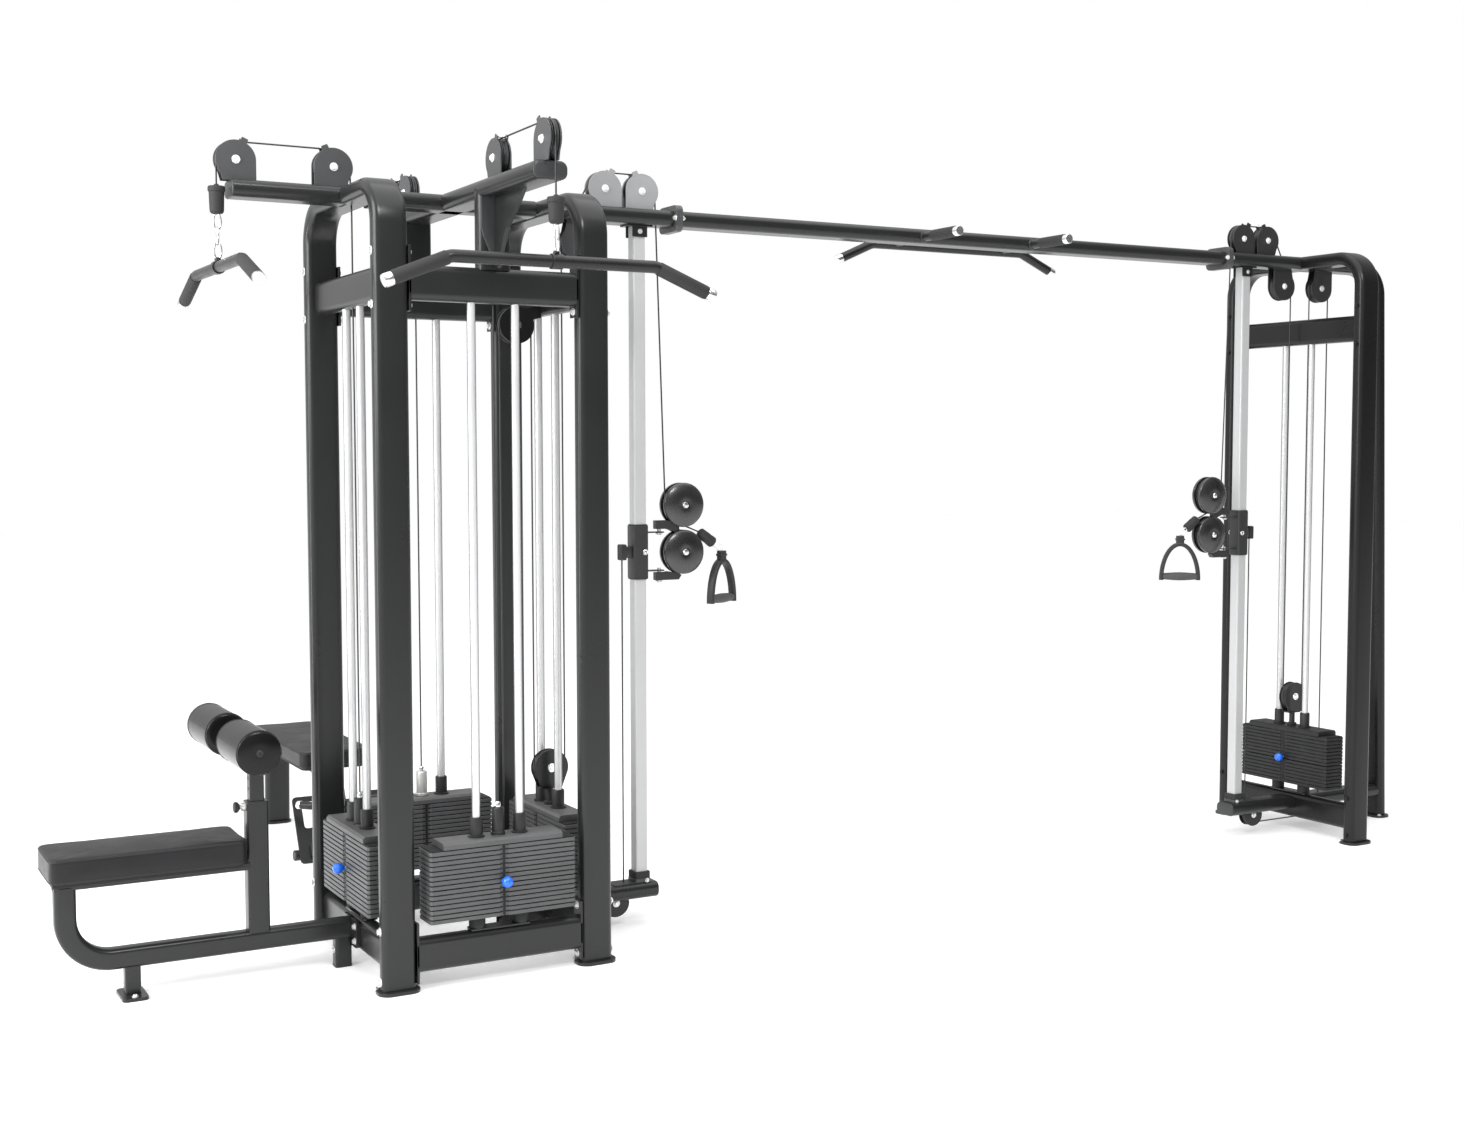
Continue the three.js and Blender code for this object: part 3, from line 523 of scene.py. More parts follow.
def piece(name, geometry, coat, body="frame", node=None, bevel=0.0, smooth=32, segments=2):
    """Object that rides on a body and stands in for a CAD node."""
    mesh = bpy.data.meshes.new(name)
    mesh.from_pydata([to_row(p) for p in geometry[0]], [], geometry[1])
    mesh.validate()
    mesh.polygons.foreach_set("use_smooth", [True] * len(mesh.polygons))
    mesh.set_sharp_from_angle(angle=math.radians(smooth))
    obj = bpy.data.objects.new(name, mesh)
    bpy.context.scene.collection.objects.link(obj)
    mesh.materials.append(MATERIALS[coat])
    if bevel:
        modifier = obj.modifiers.new("edge", "BEVEL")
        modifier.width = bevel / 1000
        modifier.segments = segments
        modifier.limit_method = "ANGLE"
        modifier.angle_limit = math.radians(38)
        modifier.harden_normals = True
    if body:
        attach(obj, body)
    if node:
        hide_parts(node)
    return obj


def member(name, geometry, coat="frame", node=None):
    """Tube of the fixed frame."""
    piece(name, geometry, coat, node=node, smooth=40)


def placer(side, matrix, body):
    """piece() for the parts of one station, named after its side."""

    def put(part, geometry, coat, body=body, **options):
        piece(f"{part}_{side}", placed(geometry, matrix), coat, body, **options)

    return put


def hex_head(at, direction, radius=8.0, height=6.0, stud=0.0):
    """Washer, hex head and optional stud on a face at `at`."""
    parts = [
        lathe([(0, 0), (radius * 1.45, 0), (radius * 1.5, 0.5), (radius * 1.45, 1.6), (0, 1.6)],
              sides=24),
        lathe([(0, 0), (radius * 0.98, 0), (radius, 0.6), (radius, height - 1.2),
               (radius * 0.88, height), (0, height)], at=(0, 0, 1.6), sides=6)]
    if stud:
        parts.append(lathe([(0, 0), (radius * 0.5, 0), (radius * 0.5, height + stud),
                            (radius * 0.4, height + stud + 1), (0, height + stud + 1)], sides=12))
    return placed(merge(*parts), aim(at, direction))


def through_bolt(axis, at, radius, height):
    """Axle bolt across two cheeks, with a head at each end."""
    at, way = Vector(at), AXES[axis]
    return merge(cylinder(axis, 6, -CHEEK_OUT, CHEEK_OUT, at),
                 hex_head(at + way * CHEEK_OUT, way, radius, height),
                 hex_head(at - way * CHEEK_OUT, -way, radius, height))


frame_heads = []  # bright fasteners of the fixed frame
outer_heads = []  # fasteners of the outer tower, painted like the frame, in its coat darkened by painted shade


def bolt(at, direction, radius=8.0, height=6.0, stud=0.0):
    frame_heads.append(hex_head(at, direction, radius, height, stud))


def cheeks(shape, axis, at=ORIGIN):
    """Plate on each side of a wheel."""
    return merge(*[prism(shape, axis, k * CHEEK_IN, k * CHEEK_OUT, at) for k in (-1, 1)])


def cheek_outline(up, ear):
    """Round plate about an axle at height up; the ear stands over the cable."""
    radius_x, radius_y = 57.0, 55.0

    def rim(angles, out=0.0):
        return around(0, up, radius_x + out, angles, radius_y + out)

    return ([(-61 * 0.62, 0), (radius_x, 0)] + rim(range(0, 58, 4))
            + (rim((58.5, 74), 12) if ear else rim((66,))) + rim((77,)) + rim(range(81, 221, 4)))


def shield_outline(up, radius):
    return [(-41, 0), (41, 0)] + around(0, up, radius * 1.04,
                                        [180 * i / 24 for i in range(25)], radius)


def mirrored(shape, side):
    return [(-p, q) for p, q in shape][::-1] if side < 0 else shape


def inverted(shape):
    return [(-p, -q) for p, q in shape]


def guard_pair(name, shape, axis, at, axle_z, coat, *extra):
    piece(name, cheeks(shape, axis, at), coat, bevel=0.7)
    axle = through_bolt(axis, (at[0], at[1], axle_z), 8.2, 6)
    piece(name + "_bolt", merge(axle, *extra), "bright", smooth=25)


def top_guard(name, axis, x, y, side, coat="guard"):
    """Guard of a wheel on top of the frame; side is the way its ear points."""
    base = HEIGHT - 2
    shape = mirrored(cheek_outline(WHEEL_Z - base, True), side)
    dx, dy = (30 * side, 0) if axis == "y" else (0, 30 * side)
    spacer = cylinder(axis, 4, -16, 16, (x + dx, y + dy, WHEEL_Z + 56))
    guard_pair("guard_" + name, shape, axis, (x, y, base), WHEEL_Z, coat, spacer)


def hang_guard(name, x, side, coat):
    """Guard of a wheel hanging under a beam."""
    top = 2252
    shape = inverted(mirrored(cheek_outline(top - HANG_Z, False), side))
    guard_pair("hang_" + name, shape, "y", (x, 0, top), HANG_Z, coat)


def base_guard(name, x):
    shape = inverted(shield_outline(95 - BASE_WHEEL_Z, 45))
    guard_pair(f"guard_{name}_base", shape, "y", (x, 0, 95), BASE_WHEEL_Z, "frame")


def wheel(name, axis, at, radius=WHEEL_R, width=20.0, body="frame", node=None):
    half, groove = width / 2, radius - 6
    face = [(6.4, half - 1), (13, half - 1), (14, half - 3), (radius - 14, half - 3.5),
            (radius - 12, half), (radius - 1, half), (radius, half - 1.5),
            (radius - 0.5, half - 3), (groove, 2.5)]
    profile = signed(face, -1) + [(groove - 0.8, 0)] + face[::-1]
    # the hub face is a little shallower than the rim recess
    piece(name, hoop(profile, axis, at, 56), "wheel", body, node, smooth=40)


def cable(name, points, body="frame"):
    points = [Vector(p) for p in points]
    return piece(name, round_skin(points, tangents(points), 2.5, 10, False), "cable", body,
                 smooth=60)


def stretch(name, start, end):
    """Straight cable between two points, left on no body."""
    start, end = Vector(start), Vector(end)
    obj = cable(name, (start, end), None)
    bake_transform(obj)


def end_cap(name, axis, sign, at):
    """Plastic plug in the open end of a flat-lying tube."""
    vertices = []
    for inset, out in ((0.6, 0.0), (0.6, 1.6), (1.6, 3.0), (4.0, 4.2), (9.0, 5.0)):
        height = (50 if name.startswith("base") else THIN) - 2 * inset
        width = (90 if name.startswith("base") else WIDE) - 2 * inset
        ring = rounded(width, height, CORNER - inset)
        vertices += [p + Vector(at) for p in in_plane(ring, axis, sign * out)]
    faces = skin(5, len(ring))
    if (sign > 0) != (axis == "x"):
        faces = flipped(faces)
    piece(name, (vertices, faces), "plug", smooth=50)


def foot(name, x, y, width=124.0, depth=84.0):
    piece(name, prism(rounded(width, depth, 34, 8), "z", 0, FOOT, (x, y, 0)), "frame", bevel=1.5)


# ---------------------------------------------------------------- side frames
TUBE = rounded(WIDE, THIN, CORNER, 8)
# the outer tower is built in the darker copy of the coat, which paints shade on it
SIDE_FRAMES = (("left", -SIDE_X, "frame", "left"), ("right", SIDE_X, "frame", "right"),
               ("outer", OUTER_X, "frame_painted_shade", "far"))
for name, x, coat, side in SIDE_FRAMES:
    path = fillet([(-END_Y, FOOT), (-END_Y, BEAM_Z), (END_Y, BEAM_Z), (END_Y, FOOT)],
                  (BEND, BEND), 20)
    member("arch_" + name, sweep(TUBE, in_plane(path, "x", x), "x"), coat, "side_frame_" + side)
for name, x, coat, side in SIDE_FRAMES:
    for level, z in (("upper", UPPER_Z), ("lower", LOWER_Z)):
        member(f"{level}_rail_{name}", box_tube("y", -END_Y + 24, END_Y - 24, (x, 0, z)), coat)
    for end, sy in (("front", -1), ("rear", 1)):
        y = sy * END_Y
        foot(f"foot_{name}_{end}", x, y)
        for z in CORNER_BOLTS:
            for sx in (-1, 1):
                at = (x + sx * THIN / 2 if False else x + sx * WIDE / 4 * 1.0, y, z)
                at = (x + sx * WIDE / 2, y, z)
                if name == "outer":
                    outer_heads.append(hex_head(at, (sx, 0, 0), 8.0, 5))
                else:
                    bolt(at, (sx, 0, 0), 8.5, 7)
        for sx in (-1, 1):
            bolt((x + sx * 55, y - sy * 26, FOOT), Z, 5.5, 4.5)

# left beam
LEFT_END = -659
member("beam_left_top", box_tube("x", LEFT_END, -SIDE_X - 22, (0, 0, BEAM_Z), WIDE, THIN))
end_cap("beam_left_top_plug", "x", -1, (LEFT_END, 0, BEAM_Z))
top_guard("left_inner", "y", LEFT_INNER, 0, -1)
top_guard("left_outer", "y", LEFT_OUTER, 0, 1)

# beam stubs of both towers, with their guards, base stubs and flanged joint
for name, start, end in (("right", SIDE_X + 22, JOINT_X), ("outer", far(JOINT_X), OUTER_X - 22)):
    member(f"beam_{name}_stub", box_tube("x", start, end, (0, 0, BEAM_Z), WIDE, THIN))
# the outer tower's guards take the darker copy of the coat: painted shade
for name, across, out, coat in (("right", same, 1, "guard_light"), ("outer", far, -1, "guard_painted_shade")):
    top_guard(name + "_inner", "y", across(RIGHT_INNER), 0, out, coat)
    top_guard(name + "_outer", "y", across(RIGHT_OUTER), 0, -out, coat)
    base_guard(name, across(BASE_X))
    end = across(COLUMN_X + 47)
    member("base_stub_" + name, box_tube("x", across(SIDE_X + 20), end, (0, 0, BASE_Z), 90, 50))
    end_cap("base_stub_plug_" + name, "x", out, (end, 0, BASE_Z))
    for i in range(2):
        start = JOINT_X + i * FLANGE
        piece(f"flange_{name}_{i}", prism(rounded(124, 84, 20, 8), "x", across(start),
                                          across(start + FLANGE), (0, 0, BEAM_Z)),
              "flange", bevel=1.0)
    for sy in (-1, 1):
        bolt((across(JOINT_X + 2 * FLANGE), sy * 55, BEAM_Z), (out, 0, 0), 6.5, 6, 4)
        bolt((across(JOINT_X), sy * 55, BEAM_Z), (-out, 0, 0), 6.5, 6)
hang_guard("right", SIDE_X + HANG, -1, "guard")
# darker guard coat: painted shade on the outer tower
hang_guard("outer", OUTER_X - HANG, 1, "guard_painted_shade")

# deflection wheel on the inner side of the right side frame
shape = around(DEFLECT_X, DEFLECT_Z, 57, range(60, 379, 6))
shape += [(SIDE_X - 24, 1945), (SIDE_X - 24, 1985), (SIDE_X - 60, 1976)]
# darker coat: painted shade inside the core tower
piece("deflection_bracket", cheeks(shape, "y"), "frame_painted_shade", bevel=0.8)
piece("deflection_bolt", through_bolt("y", (DEFLECT_X, 0, DEFLECT_Z), 9.5, 6), "chrome",
      smooth=25)
wheel("deflection_wheel", "y", (DEFLECT_X, 0, DEFLECT_Z))

# ---------------------------------------------------------------- head frame
for name, y, node in (("front", -END_Y, "head_frame"), ("rear", END_Y, None)):
    member("head_rail_" + name, box_tube("x", -RAIL_END, RAIL_END, (0, y, UPPER_Z)), node=node)
for name, y in (("front", -END_Y), ("rear", END_Y)):
    member("head_post_" + name, prism(TUBE, "z", UPPER_TOP - 6, BEAM_Z, (0, y, 0)))
curve = fillet([(-END_Y - 250, 2249), (-END_Y - 205, 2215), (-END_Y - 110, 2150),
                (-END_Y - 52, 2050)], (60, 90), 10)
gusset = [(-END_Y - 22, 2050), (-END_Y - 22, 2253), (-END_Y - 250, 2253)]
piece("head_gusset", prism(gusset + [tuple(p) for p in curve[1:]], "x", -6, 6), "frame",
      bevel=1.0)
GUSSET_FACE = [(-45, 2252), (-45, 2165), (-38, 2140), (-4, 2062),
               (4, 2062), (38, 2140), (45, 2165), (45, 2252)]  # x, z
piece("head_gusset_face", prism(GUSSET_FACE, "y", -END_Y - 31, -END_Y - 24), "guard", bevel=1.0)
BEAM_FRONT, BEAM_REAR = -749, 577
member("head_beam", box_tube("y", BEAM_FRONT, BEAM_REAR, (0, 0, BEAM_Z), WIDE, THIN))
end_cap("head_beam_plug_front", "y", -1, (0, BEAM_FRONT, BEAM_Z))
end_cap("head_beam_plug_rear", "y", 1, (0, BEAM_REAR, BEAM_Z))
member("head_cross", box_tube("x", -RAIL_END, RAIL_END, (0, 0, BEAM_Z - 1), WIDE, THIN - 2))
for name, y, side in (("front_outer", FRONT_OUTER, 1), ("front_inner", FRONT_INNER, -1),
                      ("rear_inner", REAR_INNER, 1), ("rear_outer", REAR_OUTER, -1)):
    top_guard(name, "x", 0, y, side)
wheel("pulley_rear_inner_wheel", "x", (0, REAR_INNER, WHEEL_Z))
for end, y in (("f", -END_Y), ("r", END_Y)):
    for side, sx in (("l", -1), ("r", 1)):
        x0, x1 = sorted((sx * (RAIL_END - 7), sx * RAIL_END))
        piece(f"rail_end_plate_{end}_{side}",
              merge(box(x0, x1, y - 25, y + 25, UPPER_LOW - 30, UPPER_TOP + 52),
                    box(x0, x1, y - 25, y + 25, LOWER_LOW - 30, LOWER_TOP + 46)),
              "frame", bevel=1.0)
        for z in CORNER_BOLTS:
            bolt((sx * (RAIL_END - 7), y, z), (-sx, 0, 0), 8.0, 6)
for name, y, node in (("front", -END_Y, "lower_beam_front"), ("rear", END_Y, "rear_base_frame")):
    member("lower_rail_" + name, box_tube("x", -RAIL_END, RAIL_END, (0, y, LOWER_Z)), node=node)

# ---------------------------------------------------------------- row station frame
ROW_FOOT_Y = 2140
path = fillet([(END_Y + 24, 75), (1265, 75), (1395, 340), (2125, 340), (ROW_FOOT_Y, FOOT)],
              (120, 120, 90), 16)
member("row_rail", sweep(TUBE, in_plane(path, "x"), "x"))
foot("row_foot", 0, ROW_FOOT_Y, 110, 84)
for sx in (-1, 1):
    bolt((sx * 44, ROW_FOOT_Y + 30, FOOT), Z, 5.5, 4.5)
guard_pair("row_base_guard", shield_outline(ROW_WHEEL_Z - 95, 55), "x", (0, ROW_WHEEL_Y, 95),
           ROW_WHEEL_Z, "frame")
wheel("row_base_wheel", "x", (0, ROW_WHEEL_Y, ROW_WHEEL_Z))
member("row_cross_tube", cylinder("x", 19, -192, 192, (0, 1150, 80), 32))
CROSS_CAP = [(0, 192), (18, 192), (19.5, 193), (19.5, 197), (17, 199.5), (0, 200)]
piece("row_cross_caps",
      merge(*[lathe(signed(CROSS_CAP, k), "x", (0, 1150, 80), 32) for k in (-1, 1)]), "plastic")
for side, k in (("left", -1), ("right", 1)):
    lean = translate((k * 126, 1172, 165)) @ turn(-28, "X")
    plate = sleeve(rounded(116, 250, 16), moved(rounded(52, 100, 10), 0, 55), "y", -4, 4)
    ribs = [prism(rounded(100, 9, 3, 3), "y", 4, 6.5, (0, 0, z)) for z in range(-105, -10, 15)]
    arm = prism(rounded(40, 50, 6, 4), "y", -30, -4, (0, 0, -80))
    piece("foot_rest_" + side, placed(plate, lean), "frame", bevel=1.2)
    piece("foot_rest_tread_" + side, placed(merge(*ribs), lean), "rubber", bevel=0.8)
    piece("foot_rest_arm_" + side, placed(arm, lean), "frame", bevel=1.0)

# ---------------------------------------------------------------- crossover and pull-up bar
BEAM_START = JOINT_X + 2 * FLANGE
member("crossover_tube", prism(rounded(WIDE, THIN, CORNER, 10), "x", BEAM_START,
                               far(BEAM_START), (0, 0, BEAM_Z)), node="crossover_beam")
wide_path = in_plane(fillet([(1462, 2197), (1610, 2262), (2270, 2262), (2418, 2197)],
                            (60, 60), 12), "y", 135)
piece("pullup_wide_bar", sweep(circle(16, 24), wide_path, "y"), "bar", node="pullup_bar")
HANDLES = [(x, 0, BEAM_Z - 3) for x in (1704, 2176)]
piece("pullup_handles", merge(*[cylinder("y", 16, -250, 122, at) for at in HANDLES]), "bar")
PULLUP_GRIP = [(16, -232), (18.2, -230), (18.6, -226), (18.6, -104), (18.2, -100), (16, -98),
               (15.5, -98), (15.5, -232)]
piece("pullup_grips", merge(*[hoop(PULLUP_GRIP, "y", at, 28) for at in HANDLES]), "rubber")
wide_caps = at_tips(lathe([(0, -20), (16.6, -20), (16.9, -19), (16.9, 1), (15, 3.2), (0, 3.6)],
                          sides=28), wide_path)
HANDLE_CAP = [(0, -252.5), (15, -252), (16.9, -250), (16.9, -232), (16.2, -231), (0, -231)]
piece("pullup_end_caps",
      merge(wide_caps, *[lathe(HANDLE_CAP, "y", at, 28) for at in HANDLES]), "chrome")
COLLAR = [(16, 50), (20, 50), (19.5, 53), (16, 56), (15, 53)]
piece("pullup_weld_collars",
      merge(*[hoop(signed(COLLAR, s), "y", at, 24) for at in HANDLES for s in (-1, 1)]), "frame")

# ---------------------------------------------------------------- third leg and base wheels
LEG_X = OUTER_X + 488
path = fillet([(OUTER_X + 22, BEAM_Z), (OUTER_X + 415, BEAM_Z), (LEG_X, FOOT)], (BEND,), 20)
# darker coat: painted shade on the outer tower
member("third_leg_tube", sweep(TUBE, in_plane(path, "y"), "y"), "frame_painted_shade", "third_leg")
foot("foot_third_leg", LEG_X, 0, 84, 124)
for sy in (-1, 1):
    bolt((LEG_X - 24, sy * 52, FOOT), Z, 5.5, 4.5)
# darker guard coat: painted shade on the outer tower
hang_guard("third", OUTER_X + HANG, -1, "guard_painted_shade")
member("base_rail_outer", box_tube("x", OUTER_X + 20, OUTER_X + 470, (0, 0, BASE_Z), 90, 50))
base_guard("third", OUTER_X + BASE_OFFSET)
for name, x in (("right", SIDE_X + HANG), ("outer", OUTER_X - HANG), ("third", OUTER_X + HANG)):
    wheel("hang_wheel_" + name, "y", (x, 0, HANG_Z))
INNER_BASE_X = SIDE_X - BASE_OFFSET
for name, x, z in (("right", BASE_X, BASE_WHEEL_Z), ("outer", far(BASE_X), BASE_WHEEL_Z),
                   ("third", OUTER_X + BASE_OFFSET, BASE_WHEEL_Z),
                   ("inner", INNER_BASE_X, INNER_BASE_Z)):
    wheel("base_wheel_" + name, "y", (x, 0, z), radius=38)
# x from the right upright, z
BASE_BRACKET = [(-178, 45), (-150, 22), (-24, 60), (-24, 140), (-150, 100), (-178, 78)]
piece("base_bracket_inner", cheeks(moved(BASE_BRACKET, SIDE_X, 0), "y"), "frame", bevel=0.8)
piece("base_bracket_bolt", through_bolt("y", (INNER_BASE_X, 0, INNER_BASE_Z), 8.5, 5), "zinc",
      smooth=25)

# ---------------------------------------------------------------- columns
# the CAD columns stay, polished, with collars and top brackets added
for name, x, out in (("column_right", COLUMN_X, 1), ("column_far", far(COLUMN_X), -1)):
    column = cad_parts[name]
    column.data.materials.clear()
    column.data.materials.append(MATERIALS["column"])
    edge = column.modifiers.new("edge", "BEVEL")
    edge.width = 0.0008
    edge.segments = 2
    edge.limit_method = "ANGLE"
    edge.angle_limit = math.radians(50)
    piece(name + "_foot_collar", prism(rounded(58, 58, 8, 5), "z", 137, 150, (x, 0, 0)),
          "guard", bevel=1.5)
    piece(name + "_foot_bolt", hex_head((x + 14 * out, -29, 143.5), -Y, 5, 4), "zinc", smooth=25)
    piece(name + "_tread", prism(rounded(84, 60, 4, 3), "z", 137, 139.5, (x - 62 * out, 0, 0)),
          "tread", bevel=0.6)
    piece(name + "_top_bracket", merge(box(x - 26, x + 26, -26, -21.5, 2212, 2249),
                                       box(x - 26, x + 26, 21.5, 26, 2212, 2249),
                                       box(x - 44, x + 44, -29, 29, 2245, 2250)),
          "frame", bevel=1.0)
    piece(name + "_top_bolt", merge(*[hex_head((x, 26 * s, 2229), Y * s, 5.5, 4)
                                      for s in (-1, 1)]), "zinc", smooth=25)
    piece(name + "_stop_rubber", prism(rounded(56, 56, 8, 4), "z", 150, 172, (x, 0, 0)),
          "rubber", bevel=2.0)

# ---------------------------------------------------------------- weight stacks
# Each stack is built facing -Y with its plates along x, then turned into place.
HALF_LENGTH, HALF_DEPTH = PLATE_LENGTH / 2, PLATE_DEPTH / 2
# front half of the plate outline, x and y: cut corners and a notch in the middle
half_outline = [(-HALF_LENGTH + 6, -HALF_DEPTH), (-14, -HALF_DEPTH), (-11, -HALF_DEPTH + 5),
                (11, -HALF_DEPTH + 5), (14, -HALF_DEPTH), (HALF_LENGTH - 6, -HALF_DEPTH),
                (HALF_LENGTH, -HALF_DEPTH + 6), (HALF_LENGTH, HALF_DEPTH - 6)]
PLATE_OUTLINE = half_outline + inverted(half_outline)


def plates(start, end):
    return merge(*[prism(PLATE_OUTLINE, "z", STACK_Z + i * PITCH + 1.7,
                         STACK_Z + (i + 1) * PITCH - 1.7) for i in range(start, end)])


# black discs set into the notch of each plate face: painted shade of the pin holes
def pin_hole_shade(start, end):
    return merge(*[cylinder("y", 4.6, s * (HALF_DEPTH - 4.0), s * (HALF_DEPTH - 5.6),
                            (0, 0, STACK_Z + (i + 0.5) * PITCH), 14)
                   for i in range(start, end) for s in (-1, 1)])


def plate_gaps(start, end):
    """Black fillers in the gaps between the plates, set back from their edges: painted shade between
    the plates.
    """
    shape = rounded(PLATE_LENGTH - 8, PLATE_DEPTH - 8, 3, 2)
    levels = [STACK_Z + i * PITCH for i in range(start, end)]
    return merge(*[prism(shape, "z", z - 1.8, z + 1.8) for z in levels])


def on_rods(profile):
    return merge(*[hoop(profile, at=(k * ROD_X, 0, 0), sides=32) for k in (-1, 1)])


def travelling_wheel(put, side, x, y, body):
    base = TRAVEL_Z - 63
    shape = [(-36, 0), (36, 0)] + around(0, 63, 57, range(-16, 197, 6))
    bridge = box(-CHEEK_OUT, CHEEK_OUT, -30, 30, base - 3, base + 4)
    put("travelling_cheeks", merge(cheeks(shape, "x", (0, 0, base)), bridge), "frame", bevel=0.8)
    put("travelling_bolt", through_bolt("x", (0, 0, TRAVEL_Z), 9.5, 6), "chrome", smooth=25)
    wheel("travelling_wheel_" + side, "y", (x, y, TRAVEL_Z), body=body)


def stack(side, degrees, x, y, resting, floating):
    """One stack: the lowest `resting` plates stay down; floating ones hang on a wheel."""
    matrix = translate((x, y, 0)) @ turn(degrees, "Z")
    body, top = "stack_" + side, HEAD_TOP
    # the far stack takes the darker copy of the coat: painted shade
    coat = "stack_dark" if side == "far" else "stack"
    put = placer(side, matrix, body)
    put("plates", plates(resting, PLATES), coat, bevel=1.3, node=f"stack_{side}_lift")
    put("plate_holes", pin_hole_shade(resting, PLATES), "dark")
    put("plate_gaps", plate_gaps(resting + 1, PLATES + 1), "dark")
    if resting:
        put_rest = placer(side + "_rest", matrix, "frame")
        put_rest("plate_gaps", plate_gaps(1, resting), "dark")
        put_rest("plates", plates(0, resting), coat, bevel=1.3, node=f"stack_{side}_rest")
        put_rest("plate_holes", pin_hole_shade(0, resting), "dark")
    d = HALF_DEPTH
    head_outline = [(-d, top - HEAD_THICK + 1.4), (d, top - HEAD_THICK + 1.4), (d, top - 7),
                    (d - 7, top), (-d + 7, top), (-d, top - 7)]
    put("head_plate", prism(head_outline, "x", -183, 183), coat, bevel=1.2)
    put("head_bushes", on_rods([(13.4, top - 2), (24, top - 2), (24, top + 4), (19, top + 6),
                                (19, top + 54), (17.5, top + 58), (13.4, top + 58)]), "plastic")
    stem = cylinder("z", 11, STACK_Z + 4 if resting else STACK_Z, top + (56 if floating else 80))
    nut = hoop([(11, top), (19, top), (19, top + 9), (17, top + 11), (11, top + 11)], sides=6)
    put("selector_stem", merge(stem, nut), "plastic" if floating else "zinc")
    if floating:
        travelling_wheel(put, side, x, y, body)
    else:
        put("stem_tube", lathe([(0, top + 2), (21, top + 2), (21, top + 8), (18.5, top + 10),
                                (18.5, top + 76), (16.5, top + 80), (0, top + 80)], sides=36),
            "zinc" if side == "rear" else "plastic")
        put("stem_eye", lathe([(0, top + 76), (8, top + 76), (8.5, top + 78), (8.5, top + 92),
                               (6, top + 96), (3, top + 97), (0, top + 97)], sides=24), "chrome")
    rods = [cylinder("z", ROD_R, LOWER_TOP, UPPER_LOW + 3, (k * ROD_X, 0, 0), 36)
            for k in (-1, 1)]
    put("guide_rod_pair", merge(*rods), "rod", "frame", node="guide_rods_" + side)
    low = LOWER_TOP + 6
    put("stack_buffers", on_rods([(ROD_R, low), (23, low), (24, low + 3), (24, STACK_Z - 6),
                                  (22, STACK_Z - 1), (ROD_R, STACK_Z - 1)]), "rubber", "frame")
    put("rod_base_plate", prism(rounded(2 * ROD_X + 52, 46, 10, 4), "z", LOWER_TOP, low),
        "frame", "frame", bevel=1.0)
    pin_z = STACK_Z + (resting + 0.5) * PITCH
    put("pin_shaft", cylinder("y", 4, -d - 2, -12, (0, 0, pin_z), 16), "zinc", "pin_" + side)
    knob = [(0, -36.5), (5, -36), (10, -34), (14, -30), (16.4, -24.5), (16.6, -19), (14.8, -13),
            (11.5, -8.5), (8, -5.5), (6.2, -3), (5.6, -0.5), (0, -0.5)]
    put("pin_knob", lathe(knob, "y", (0, -d, pin_z), 36), "blue", "pin_" + side,
        node="stack_pin_" + side)


stack("front", 0, 0, -END_Y, resting=7, floating=False)
stack("left", -90, -SIDE_X, 0, resting=7, floating=False)
stack("rear", 180, 0, END_Y, resting=0, floating=False)
stack("right", 90, SIDE_X, 0, resting=0, floating=True)
stack("far", -90, OUTER_X, 0, resting=7, floating=True)

# ---------------------------------------------------------------- top wheels
for name, axis, x, y in (
        ("front_outer", "x", 0, FRONT_OUTER), ("front_inner", "x", 0, FRONT_INNER),
        ("rear_outer", "x", 0, REAR_OUTER),
        ("left_outer", "y", LEFT_OUTER, 0), ("left_inner", "y", LEFT_INNER, 0),
        ("right_outer", "y", RIGHT_OUTER, 0), ("right_inner", "y", RIGHT_INNER, 0),
        ("far_outer", "y", far(RIGHT_OUTER), 0), ("far_inner", "y", far(RIGHT_INNER), 0)):
    wheel("top_wheel_" + name, axis, (x, y, WHEEL_Z), body="wheel_" + name, node="pulley_" + name)

# ---------------------------------------------------------------- column stations
# Built about the carriage middle, with the swivel toward +X.
# x, z of the ears above and below the swivel wheels
UPPER_EAR = [(60, TAB + 10), (100, TAB + 10), (130, TAB - 1.5), (146, TAB - 2.5),
             (146, TAB + 18), (132, TAB + 25), (116, TAB + 36), (100, TAB + 38), (60, TAB + 38)]
LOWER_EAR = [(60, -TAB - 32), (144, -TAB - 32), (154, -TAB - 17), (140, -TAB - 9),
             (112, -TAB - 5), (104, -TAB - 4), (98, -TAB - 6), (60, -TAB - 6)]
# radius, offset
DOME = [(0, 9.2), (71.2, 9.2), (72, 10), (72, 17.5), (71.2, 19.5), (69, 21.5), (64, 24),
        (54, 27.6), (42, 30.2), (30, 31.6), (17, 32), (14.5, 31.5), (13.5, 27.5), (0, 27.5)]
AXLE_HEAD = [(0, 27), (10.5, 27), (11, 28), (11, 32), (9, 35), (0, 36)]
RING_BOSS = [(0, 26), (7, 26), (7, 29), (4, 31.5), (0, 32)]


def station_matrix(x, degrees):
    return translate((x, 0, CARRIAGE_Z)) @ turn(degrees, "Z")


